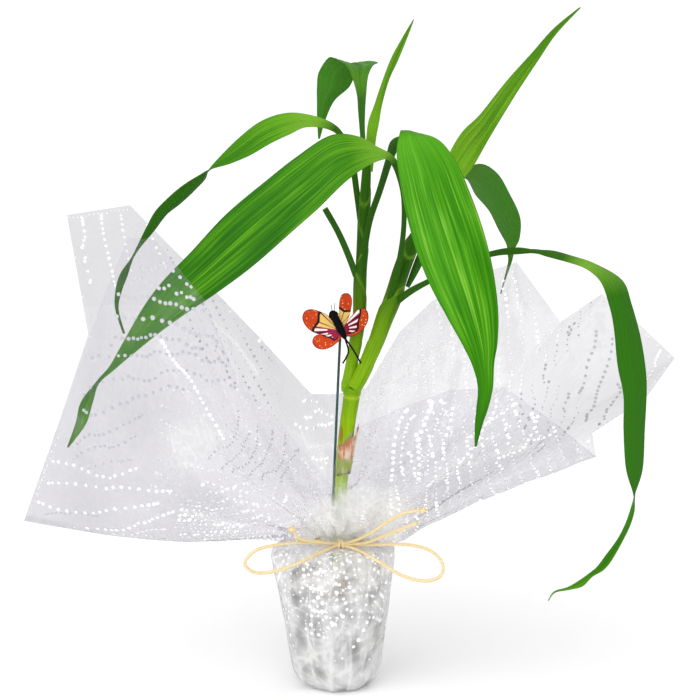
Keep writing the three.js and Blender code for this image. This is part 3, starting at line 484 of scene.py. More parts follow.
    foldPoints = []
    for spots, strength in collarFolds:
        line = np.array([collarSpot(collarRow, out) for collarRow, out in spots])
        foldPoints.append((rowsAt(line, np.linspace(0, len(line) - 1, 60)), strength, look["creaseWidth"]))
    for footAngle, topAngle, low, high in pouchFolds:
        share = np.linspace(0, 1, 50)
        way = np.radians(footAngle + (topAngle - footAngle) * share)
        z = np.maximum(low, 0.5) + (high - np.maximum(low, 0.5)) * share
        r = np.interp(z, rings[:pouchCount - 12, 3], rings[:pouchCount - 12, 0]) - 0.3
        line = np.stack([r * np.cos(way), r * np.sin(way), z], -1)
        foldPoints.append((line, look["pouchFoldWhiteAndHighlight"], look["foldWidth"]))
    for line, strength, width in foldPoints:
        close = np.full(grid.shape[:2], 1e3)
        for spot in line:
            close = np.minimum(close, np.linalg.norm(grid - spot, axis=2))
        ridge = np.exp(-(close / width) ** 2)
        creases = np.maximum(creases, ridge * strength)
        grid = grid + normals * (look["foldDepth"] * ridge * strength)[..., None]

    # how white the film is, and the painted shade that takes light away
    cloud = np.full(len(outAt), look["cloud"])
    cloud[:pouchCount] = look["cloudPouch"]
    cloud[:pouchCount] += (look["cloudFoot"] - look["cloudPouch"]) * (1 - smoothStep(ringPlace, 1.5, 4.5))
    cloud[:pouchCount] += (look["cloudNeck"] - look["cloudPouch"]) * smoothStep(ringPlace, 9, 11)
    rowsAside = (place + around / 2) % around - look["gathersRow"]
    front = np.exp(-(rowsAside / look["gathersRows"]) ** 2)[None]
    gathered = 1 - smoothStep(outAt[:, None] - look["gathersHigher"] * front, 0.5, 1.05)
    aside = np.abs(grid[..., 0] - look["gathersAt"])
    atCane = np.exp(-(aside / look["gathersWide"]) ** 4) * (grid[..., 1] < -12)
    under = grid[..., 2] - look["gathersTop"] + 0.3 * aside
    atCane = atCane * (1 - smoothStep(under, -12, 2)) * (outAt > 0)[:, None]
    gathered = np.maximum(gathered, 0.9 * atCane)
    gathered[:pouchCount] = 0
    # painted shade: the haze is drawn darker where the film is folded over itself most closely just before
    # the cane, where less light gets between the folds
    foldShadeAside = grid[..., 0] - look["foldShadeAt"]
    dull = look["gathersShade"] * atCane * np.exp(-(foldShadeAside / look["foldShadeWide"]) ** 2)
    cloud = cloud[:, None] + (look["cloudNeck"] - look["cloud"]) * gathered
    # painted light: the pouch's right side, which lies in shade, gets more white haze so it looks as light
    # as the rest
    cloud[:pouchCount] += look["cloudSide"] * smoothStep(np.cos(angle), 0.35, 0.85)[None]
    # painted shade: rows that lean away from the light are drawn darker, behind more towards the cut edge,
    # on the front flap less towards it
    leanShade = 1 - rowsAt(np.array(collarShade, float)[:, None], place, True)[:, 0]
    frontFlap = smoothStep(place, 28.5, 30.5)[None]
    outer = smoothStep(outAt, 2.1, 2.9)[:, None]
    leanShade = leanShade[None] * smoothStep(outAt, 0.2, 1.2)[:, None]
    shade = 1 - leanShade * ((0.8 + 0.2 * outer) * (1 - frontFlap) + (1 - 0.75 * outer) * frontFlap)
    # painted glare and painted shade, patch by patch
    for patchPlace, patchOut, size, paintedGlare, paintedShade in collarPatches:
        away = np.linalg.norm(grid - collarSpot(patchPlace, patchOut), axis=2)
        patch = np.exp(-(away / size) ** 2) * (outAt[:, None] > 0)
        cloud += paintedGlare * patch
        shade -= paintedShade * patch
    # the pouch is crumpled evenly all round, so its pattern follows its shape and not the flat sheet
    flat[:pouchCount] = grid[:pouchCount]
    tornSize = np.where(outAt < 0, look["tornPouchSize"], look["tornCollarSize"])[:, None, None]
    torn = np.array([noise.noise(Vector(p)) for p in (flat / tornSize).reshape(-1, 3)])
    torn = torn.reshape(creases.shape)
    tornMore = np.where(outAt < 0, look["tornPouch"], look["tornCollar"])[:, None]
    cloud = np.clip(cloud * (1 + tornMore * torn * (1 - 0.6 * atCane)), 0, look["cloudMost"])
    return grid, gridNormals(grid), flatOut, flatAngle, flat, creases, outAt, place, cloud, shade, dull


(filmGrid, filmNormals, filmOut, filmAngle, filmPattern, filmCreases, filmU, filmPlace, filmCloud,
 filmShade, filmFoldShade) = makeFilm()
filmRows, filmColumns = filmGrid.shape[:2]


# Clear polypropylene film: glossy, faintly hazy, whitened along its creases, partly as creased film and
# partly as painted highlight
def filmSurface(tree):
    look = filmLook
    pattern = addNode(tree, "ShaderNodeAttribute", attribute_name="pattern").outputs["Vector"]
    crease, cloud, shade, dull = [
        addNode(tree, "ShaderNodeAttribute", attribute_name=name).outputs["Fac"]
        for name in ("crease", "cloud", "shade", "dull")]
    ripple = addNode(tree, "ShaderNodeTexNoise", {
        "Vector": pattern, "Scale": 1 / (look["rippleSize"] * mm), "Detail": 3.0, "Roughness": 0.5})
    bent = addNode(tree, "ShaderNodeVectorMath", {
        0: ripple.outputs["Color"], 1: (look["rippleBend"] * mm,) * 3, 2: pattern},
        operation="MULTIPLY_ADD")
    wrinkle = addNode(tree, "ShaderNodeTexVoronoi", {
        "Vector": bent, "Scale": 1 / (look["wrinkleSize"] * mm)}, feature="DISTANCE_TO_EDGE")
    fold = addNode(tree, "ShaderNodeMath", {0: wrinkle.outputs["Distance"], 1: 0.3}, operation="MINIMUM")
    height = addNode(tree, "ShaderNodeMath", {0: fold, 1: ripple.outputs["Fac"]}, operation="ADD")
    normal = addNode(tree, "ShaderNodeBump", {"Strength": 0.3, "Distance": 0.0008, "Height": height})
    # small flat facets where the film is crumpled, drawn darker cell by cell: painted shade, as if each
    # caught the light in its own way
    facet = addNode(tree, "ShaderNodeTexVoronoi", {"Vector": bent, "Scale": 1 / (look["facetSize"] * mm)})
    facetShaded = addNode(tree, "ShaderNodeMapRange", {
        "Value": facet.outputs["Color"], "From Min": 0.25, "From Max": 0.75,
        "To Min": 0.0, "To Max": look["facetShade"]})
    # painted shade: the clear film's colour is darkened by the shade attribute
    shaded = addNode(tree, "ShaderNodeMix", {
        0: shade, 6: "#000000", 7: look["clear"]}, data_type="RGBA")
    # painted shade of the facets and between the folds, taken together, darkens the haze colour
    hazeShaded = addNode(tree, "ShaderNodeMath", {0: facetShaded, 1: dull}, operation="ADD")
    hazeColour = addNode(tree, "ShaderNodeMix", {
        0: hazeShaded, 6: look["haze"], 7: "#000000"}, data_type="RGBA")
    clear = addNode(tree, "ShaderNodeBsdfTransparent", {"Color": shaded.outputs[2]})
    facing = addNode(tree, "ShaderNodeBsdfPrincipled", {
        "Base Color": hazeColour.outputs[2], "Roughness": 0.35, "Normal": normal})
    through = addNode(tree, "ShaderNodeBsdfTranslucent", {"Color": look["haze"], "Normal": normal})
    haze = addNode(tree, "ShaderNodeMixShader", {0: look["scatteredOn"], 1: facing, 2: through})
    gloss = addNode(tree, "ShaderNodeBsdfAnisotropic", {
        "Color": "#ffffff", "Roughness": look["roughness"], "Normal": normal})
    # white lines where the wrinkles meet, partly creased film and partly painted glints, stronger where the
    # film is cloudy
    crackle = addNode(tree, "ShaderNodeMapRange", {
        "Value": wrinkle.outputs["Distance"], "From Min": 0.0, "From Max": 0.14,
        "To Min": look["crackled"], "To Max": 0.0})
    crackled = addNode(tree, "ShaderNodeMath", {0: crackle, 1: cloud}, operation="MULTIPLY")
    clouded = addNode(tree, "ShaderNodeMath", {0: cloud, 1: crackled}, operation="ADD")
    white = addNode(tree, "ShaderNodeMath", {
        0: crease, 1: look["creased"], 2: clouded}, operation="MULTIPLY_ADD")
    body = addNode(tree, "ShaderNodeMixShader", {0: white, 1: clear, 2: haze})
    shine = addNode(tree, "ShaderNodeFresnel", {"IOR": look["ior"], "Normal": normal})
    limited = addNode(tree, "ShaderNodeMath", {0: shine, 1: look["shineMost"]}, operation="MINIMUM")
    return addNode(tree, "ShaderNodeMixShader", {0: limited, 1: body, 2: gloss})


filmFaces = gridFaces(filmRows, filmColumns, True)
filmFaces.append(tuple(range(filmColumns))[::-1])
filmWrap = newPiece("filmWrap", filmGrid.reshape(-1, 3), filmFaces, attributes={
    "crease": filmCreases.ravel(), "cloud": filmCloud.ravel(), "shade": filmShade.ravel(),
    "dull": filmFoldShade.ravel(), "pattern": filmPattern.reshape(-1, 3) * mm})
finishPiece(filmWrap, newMaterial("clearPolypropyleneFilm", filmSurface), ["film_wrap"])
print("film wrap:", filmRows * filmColumns, "points")


# Dots printed on the film

dotLook = {
    "smallest": 0.4, "largest": 1.05, "swell": 62, "stray": 1.0, "greyDotSize": 0.8,
    "rowsEachWay": 45, "dotsEachWay": 100, "nearest": 16, "margin": 1.5, "lift": 0.09, "sides": 10,
    "edgeInset": 1.6, "edgeDots": 15, "edgeRadius": 0.5, "edgeInk": 0.3,
    # the second ink colour is painted shade: the grey of dots that the light reaches less
    "ink": "#fdfdff", "thinInk": "#b4b4bb",
}
# rows run straight in each part of the sheet: from and to in collar rows, angle of the rows,
# row spacing, dot pitch, first and last distance from the middle of the sheet, and last place outwards
dotZones = [
    (-3.5, 3.2, 140, 8.5, 4.2, 88, 330, 1.7), (3.2, 7.6, 118, 6.5, 4.2, 88, 330, 1.85),
    (7.6, 12.3, 92, 11, 4.6, 88, 330, 2.2), (12.3, 15.2, 141, 13, 4.4, 88, 330, 3),
    (18, 24.2, 20, 9, 3.8, 88, 330, 3), (24.2, 28.2, 32, 8, 3.6, 88, 330, 2.4),
    (28.2, 32.5, 20, 7.5, 3.6, 88, 330, 3), (0, 36, 25, 6.2, 3.9, 46, 88, 3),
    (0, 36, 118, 9, 4.4, 44, 88, 3), (0, 36, 118, 14, 5.6, 26, 46, 3),
    (15.2, 17, 141, 13, 4.4, 88, 330, 2.15), (17, 18, 141, 13, 4.4, 88, 330, 3),
]
# a fine row of dots follows the cut edge here, from and to in collar rows
edgeRuns = [(7.2, 12), (24.5, 29)]
# where the dots get painted shade, greyed as the light reaches them less: collar rows, and places outwards
shadedInkZones = [(23.6, 27.5, 2.1, 3.0), (12.5, 15.5, 2.3, 2.9)]
# rows that stand out: points as collar row and place outwards, dots, their radius, and how much painted
# shade greys the ink
dotRows = [
    ([(11.2, 2.97), (11.1, 2.85), (10.9, 2.79), (10.7, 2.76)], 13, 0.95, 0.1),
    ([(11.5, 2.95), (11.4, 2.83), (11.3, 2.7), (11.2, 2.61)], 14, 0.95, 0.1),
    ([(11.8, 2.93), (11.7, 2.78), (11.6, 2.64)], 10, 0.85, 0.2),
    ([(12.0, 2.83), (11.9, 2.74), (11.8, 2.64)], 7, 0.6, 0.5),
    ([(4.7, 2.8), (4.2, 2.81), (3.7, 2.87), (3.3, 2.93)], 10, 0.9, 0.8),
    ([(5.2, 2.8), (4.7, 2.74), (4.1, 2.71), (3.6, 2.77), (3.3, 2.84)], 13, 0.95, 0.8),
    ([(5.6, 2.87), (5.2, 2.72), (4.5, 2.66), (3.9, 2.65), (3.4, 2.74), (2.7, 2.95)], 17, 1.0, 0.9),
    ([(5.8, 2.8), (5.2, 2.63), (4.3, 2.57), (3.7, 2.57), (3.3, 2.64), (2.8, 2.74)], 15, 1.15, 0.9),
    ([(6.1, 2.77), (5.6, 2.64), (5.2, 2.56), (4.6, 2.51), (3.8, 2.5), (3.3, 2.57), (2.3, 2.83)], 22, 0.9, 1),
    ([(6.4, 2.88), (6.0, 2.66), (5.5, 2.54), (5.1, 2.48), (4.4, 2.44), (3.7, 2.47), (3.1, 2.54), (2.5, 2.7)],
     24, 0.85, 1),
    ([(6.7, 2.84), (6.2, 2.62), (5.8, 2.5), (5.3, 2.41), (4.5, 2.38), (3.7, 2.38), (3.1, 2.44), (2.3, 2.6)],
     24, 0.8, 1),
    ([(6.8, 2.78), (6.7, 2.67), (6.3, 2.53), (5.9, 2.44), (5.2, 2.35), (4.4, 2.3)], 16, 0.9, 1),
    ([(7.1, 2.74), (6.9, 2.64), (6.7, 2.53), (6.3, 2.43), (6.0, 2.37)], 14, 0.8, 1),
    ([(7.2, 2.7), (6.9, 2.55), (6.7, 2.44), (6.3, 2.35)], 12, 0.7, 1),
    ([(7.2, 2.57), (6.8, 2.38), (6.6, 2.31)], 9, 0.6, 0.9),
    ([(7.4, 2.9), (7.3, 2.7), (7.2, 2.5), (7.0, 2.36), (6.6, 2.25)], 13, 0.85, 0.1),
    ([(7.6, 2.87), (7.5, 2.7), (7.3, 2.45), (7.0, 2.26), (6.6, 2.06), (6.3, 1.97)], 17, 0.85, 0.1),
    ([(7.8, 2.9), (7.8, 2.7), (7.7, 2.5), (7.5, 2.35), (7.1, 2.12), (6.8, 2.0)], 17, 0.95, 0.0),
    ([(7.9, 2.8), (7.8, 2.64), (7.7, 2.44)], 12, 0.6, 0.9),
    ([(8.0, 2.83), (8.0, 2.67), (7.9, 2.42), (7.8, 2.28), (7.5, 2.14), (7.2, 2.0), (6.8, 1.87)],
     22, 0.95, 0.0),
    ([(8.0, 2.5), (7.9, 2.25), (7.6, 2.09), (7.4, 1.93)], 13, 0.8, 0.2),
    ([(2.4, 2.41), (2.7, 2.22), (3.4, 2.03), (4.5, 1.93)], 16, 0.5, 1),
    ([(2.2, 2.28), (2.7, 2.09), (3.5, 1.91), (4.3, 1.83)], 14, 0.5, 1),
    ([(1.8, 2.48), (2.1, 2.19), (2.8, 1.94), (4.0, 1.78)], 18, 0.5, 1),
    ([(1.4, 2.64), (1.6, 2.38), (2.2, 2.0), (3.1, 1.8)], 18, 0.5, 1),
    ([(1.1, 2.8), (1.3, 2.41), (1.8, 2.03), (2.7, 1.75)], 18, 0.5, 1),
    ([(0.8, 2.87), (1.2, 2.38), (1.7, 1.93)], 16, 0.5, 1),
    ([(4.7, 2.5), (4.4, 2.41), (4.0, 2.34), (3.7, 2.22), (3.4, 2.09)], 24, 0.9, 0.0),
    ([(24.4, 2.74), (24.6, 2.67), (24.8, 2.57), (25.2, 2.48), (25.3, 2.44)], 12, 0.85, 1),
    ([(24.8, 2.77), (25.2, 2.64), (25.5, 2.54), (25.8, 2.48), (26.2, 2.44), (26.6, 2.48)], 20, 0.85, 1),
    ([(25.8, 2.61), (26.3, 2.61), (26.8, 2.62), (27.5, 2.77)], 12, 0.85, 1),
    ([(23.7, 2.76), (23.8, 2.67)], 3, 0.8, 0.9),
    ([(25.7, 2.95), (25.9, 2.84), (26.4, 2.8)], 12, 0.8, 0.3),
    ([(32.8, 2.93), (32.9, 2.77), (32.9, 2.51), (32.8, 2.31), (32.7, 2.09)], 13, 0.95, 0),
    ([(32.6, 2.8), (32.7, 2.7), (32.7, 2.54), (32.6, 2.31), (32.4, 2.12)], 14, 0.65, 0),
    ([(32.3, 2.9), (32.3, 2.7), (32.3, 2.48), (32.1, 2.28), (31.8, 2.03)], 13, 1.0, 0),
    ([(32.0, 2.8), (32.0, 2.57), (31.9, 2.31), (31.6, 2.09)], 14, 0.5, 0),
    ([(31.8, 2.74), (31.7, 2.57), (31.6, 2.38), (31.4, 2.25), (31.2, 2.0), (31.2, 1.9)], 14, 0.92, 0),
    ([(31.0, 2.83), (30.9, 2.64), (31.0, 2.44)], 9, 0.75, 0),
    ([(30.7, 2.9), (30.8, 2.7), (30.9, 2.57), (30.8, 2.38), (30.8, 2.22)], 15, 0.85, 0),
    ([(30.3, 2.93), (30.1, 2.7), (30.0, 2.57), (30.1, 2.44)], 11, 0.85, 0),
    ([(30.5, 2.67), (30.6, 2.51), (30.8, 2.44), (30.6, 2.25)], 10, 0.65, 0),
    ([(29.9, 2.97), (29.9, 2.8), (30.0, 2.7)], 6, 0.8, 0),
    ([(15.8, 2.61), (15.9, 2.67), (16.2, 2.77), (16.4, 2.74), (16.8, 2.7)], 8, 0.95, 0),
    ([(15.5, 2.44), (15.8, 2.51), (16.2, 2.61), (16.5, 2.61), (16.8, 2.64)], 9, 1.0, 0),
    ([(15.8, 2.77), (15.9, 2.87), (16.2, 2.87)], 4, 0.8, 0),
    ([(15.9, 2.25), (16.2, 2.28), (16.5, 2.31)], 5, 1.0, 0),
    ([(16.2, 2.19), (16.4, 2.25)], 2, 0.9, 0),
]


# The film's place, its facing and its collar place at a spot of the flat sheet, or nothing beside the sheet
def filmSpot(placeRound, distance):
    column = (1 - placeRound / len(collarRows)) % 1 * filmColumns
    j = int(column)
    share = column - j
    k = (j + 1) % filmColumns
    profile = filmOut[:, j] * (1 - share) + filmOut[:, k] * share
    if not dotLook["nearest"] <= distance <= profile[-1] - dotLook["margin"]:
        return None
    row = float(np.interp(distance, profile, np.arange(filmRows)))
    i = min(int(row), filmRows - 2)
    up = row - i

    def mix(values):
        lower = values[i, j] * (1 - share) + values[i, k] * share
        upper = values[i + 1, j] * (1 - share) + values[i + 1, k] * share
        return lower * (1 - up) + upper * up

    return mix(filmGrid), unit(mix(filmNormals)), float(filmU[i] * (1 - up) + filmU[i + 1] * up)


def makeDots():
    look = dotLook
    draw = random.Random(23)
    around = len(collarRows)
    spots, facings, sizes, inks = [], [], [], []

    def printDot(found, radius, ink):
        spots.append(found[0])
        facings.append(found[1])
        sizes.append(radius)
        inks.append(ink)

    # flat angle of every collar row, so a dot on the flat sheet finds its place round the wrap
    order = np.argsort(filmAngle)
    angles = filmAngle[order]
    places = np.unwrap(filmPlace[order] * 2 * math.pi / around) * around / 2 / math.pi
    for low, high, direction, spacing, pitch, nearest, farthest, lastOut in dotZones:
        way = math.radians(-direction)  # the flat angle runs anticlockwise, the collar rows clockwise
        for row in range(-look["rowsEachWay"], look["rowsEachWay"] + 1):
            phase = draw.uniform(0, 6.28)
            slip = draw.uniform(0, 1)
            for step in range(-look["dotsEachWay"], look["dotsEachWay"] + 1):
                along = (step + slip) * pitch
                across = row * spacing
                swell = 0.5 + 0.5 * math.sin(2 * math.pi * along / look["swell"] + phase)
                jitter = draw.uniform(0.7, 1.1)
                stray = look["stray"]
                x = along * math.cos(way) - across * math.sin(way) + draw.uniform(-stray, stray)
                y = along * math.sin(way) + across * math.cos(way) + draw.uniform(-stray, stray)
                distance = math.hypot(x, y)
                if not nearest < distance <= farthest:
                    continue
                turn = math.atan2(y, x) % (2 * math.pi)
                place = float(np.interp(turn, angles, places)) % around
                if not any(low <= p < high for p in (place, place - around)):
                    continue
                found = filmSpot(place, distance)
                if not found or found[2] > lastOut:
                    continue
                size = look["smallest"] + (look["largest"] - look["smallest"]) * swell ** 2
                dotShade = any(a <= place <= b and c < found[2] < d for a, b, c, d in shadedInkZones)
                printDot(found, size * jitter * (look["greyDotSize"] if dotShade else 1), 1.0 if dotShade else 0.0)
    for line, count, radius, dotShade in dotRows:
        for rowPlace, rowOut in rowsAt(line, np.linspace(0, len(line) - 1, count)):
            column = int((1 - rowPlace / around) % 1 * filmColumns)
            found = filmSpot(rowPlace, float(np.interp(rowOut, filmU, filmOut[:, column])))
            if found:
                printDot(found, radius * draw.uniform(0.85, 1.1), dotShade)
    for start, stop in edgeRuns:
        steps = int((stop - start) * look["edgeDots"])
        for step in range(steps):
            place = start + (stop - start) * step / steps
            column = int((1 - place / around) % 1 * filmColumns)
            found = filmSpot(place, filmOut[-1, column] - look["edgeInset"])
            if found:
                printDot(found, look["edgeRadius"], look["edgeInk"])
    return np.array(spots), np.array(facings), np.array(sizes), np.array(inks)


def inkSurface(tree):  # opaque white ink on film: matt, greyed by painted shade where the light reaches it less
    dotShade = addNode(tree, "ShaderNodeAttribute", attribute_name="thinInk").outputs["Fac"]
    colour = addNode(tree, "ShaderNodeMix", {
        0: dotShade, 6: dotLook["ink"], 7: dotLook["thinInk"]}, data_type="RGBA")
    return addNode(tree, "ShaderNodeBsdfPrincipled", {"Base Color": colour.outputs[2], "Roughness": 0.5})


def newGrowTree(name, sockets):
    tree = bpy.data.node_groups.new(name, "GeometryNodeTree")
    for label, kind in sockets.items():
        tree.interface.new_socket(label, in_out="INPUT", socket_type="NodeSocket" + kind)
    tree.interface.new_socket("Geometry", in_out="OUTPUT", socket_type="NodeSocketGeometry")
    return tree


dotTree = newGrowTree("printedDots", {"Geometry": "Geometry", "Dot sides": "Int", "Ink": "Material"})
dotIn = addNode(dotTree, "NodeGroupInput")
dotFacing = addNode(dotTree, "GeometryNodeInputNamedAttribute", {"Name": "facing"}, data_type="FLOAT_VECTOR")
dotSize = addNode(dotTree, "GeometryNodeInputNamedAttribute", {"Name": "dotRadius"}, data_type="FLOAT")
dotTurn = addNode(dotTree, "FunctionNodeAlignRotationToVector", {"Vector": dotFacing}, axis="Z")
dotDisc = addNode(dotTree, "GeometryNodeMeshCircle", {
    "Vertices": dotIn.outputs["Dot sides"], "Radius": 1.0}, fill_type="NGON")
dotOver = addNode(dotTree, "GeometryNodeTransform", {
    "Geometry": dotDisc, "Translation": (0.0, 0.0, dotLook["lift"] * mm)})
dotUnder = addNode(dotTree, "GeometryNodeTransform", {
    "Geometry": dotDisc, "Translation": (0.0, 0.0, -dotLook["lift"] * mm), "Rotation": (math.pi, 0.0, 0.0)})
dotPair = addNode(dotTree, "GeometryNodeJoinGeometry", {"Geometry": dotOver})
dotTree.links.new(dotUnder.outputs[0], dotPair.inputs["Geometry"])
dotWide = addNode(dotTree, "ShaderNodeCombineXYZ", {"X": dotSize, "Y": dotSize, "Z": 1.0})
dotCopies = addNode(dotTree, "GeometryNodeInstanceOnPoints", {
    "Points": dotIn.outputs["Geometry"], "Instance": dotPair, "Rotation": dotTurn, "Scale": dotWide})
dotReal = addNode(dotTree, "GeometryNodeRealizeInstances", {"Geometry": dotCopies})
dotInked = addNode(dotTree, "GeometryNodeSetMaterial", {
    "Geometry": dotReal, "Material": dotIn.outputs["Ink"]})
addNode(dotTree, "NodeGroupOutput", {"Geometry": dotInked})


# Runs a node tree on a cloud of points and returns its result as a plain piece
def growPiece(name, tree, points, attributes, inputs):
    seed = newPiece(name + "Seed", points, [], attributes=attributes)
    modifier = seed.modifiers.new("grow", "NODES")
    modifier.node_group = tree
    for item in tree.interface.items_tree:
        if item.item_type == "SOCKET" and item.in_out == "INPUT" and item.name in inputs:
            modifier[item.identifier] = inputs[item.name]
    grown = bpy.data.meshes.new_from_object(seed.evaluated_get(bpy.context.evaluated_depsgraph_get()))
    bpy.data.objects.remove(seed)
    grown.name = name
    piece = bpy.data.objects.new(name, grown)
    bpy.context.scene.collection.objects.link(piece)
    return piece


dotSpots, dotFacings, dotSizes, dotInks = makeDots()
whiteInk = newMaterial("whitePrintingInk", inkSurface)
filmDots = growPiece(
    "filmDots", dotTree, dotSpots,
    {"facing": dotFacings, "dotRadius": dotSizes * mm, "thinInk": dotInks},
    {"Dot sides": dotLook["sides"], "Ink": whiteInk})
finishPiece(filmDots)
print("dots:", len(dotSpots))


# Leaves

bladeLook = {
    "across": 25, "stalkThick": 2.2, "thick": 0.55, "edge": 0.22, "stalkEdge": 0.9, "creaseRound": 0.004,
    "waveDepth": 0.05, "waveTurn": 1.9, "ripples": 7, "rippleDepth": 0.11,
}
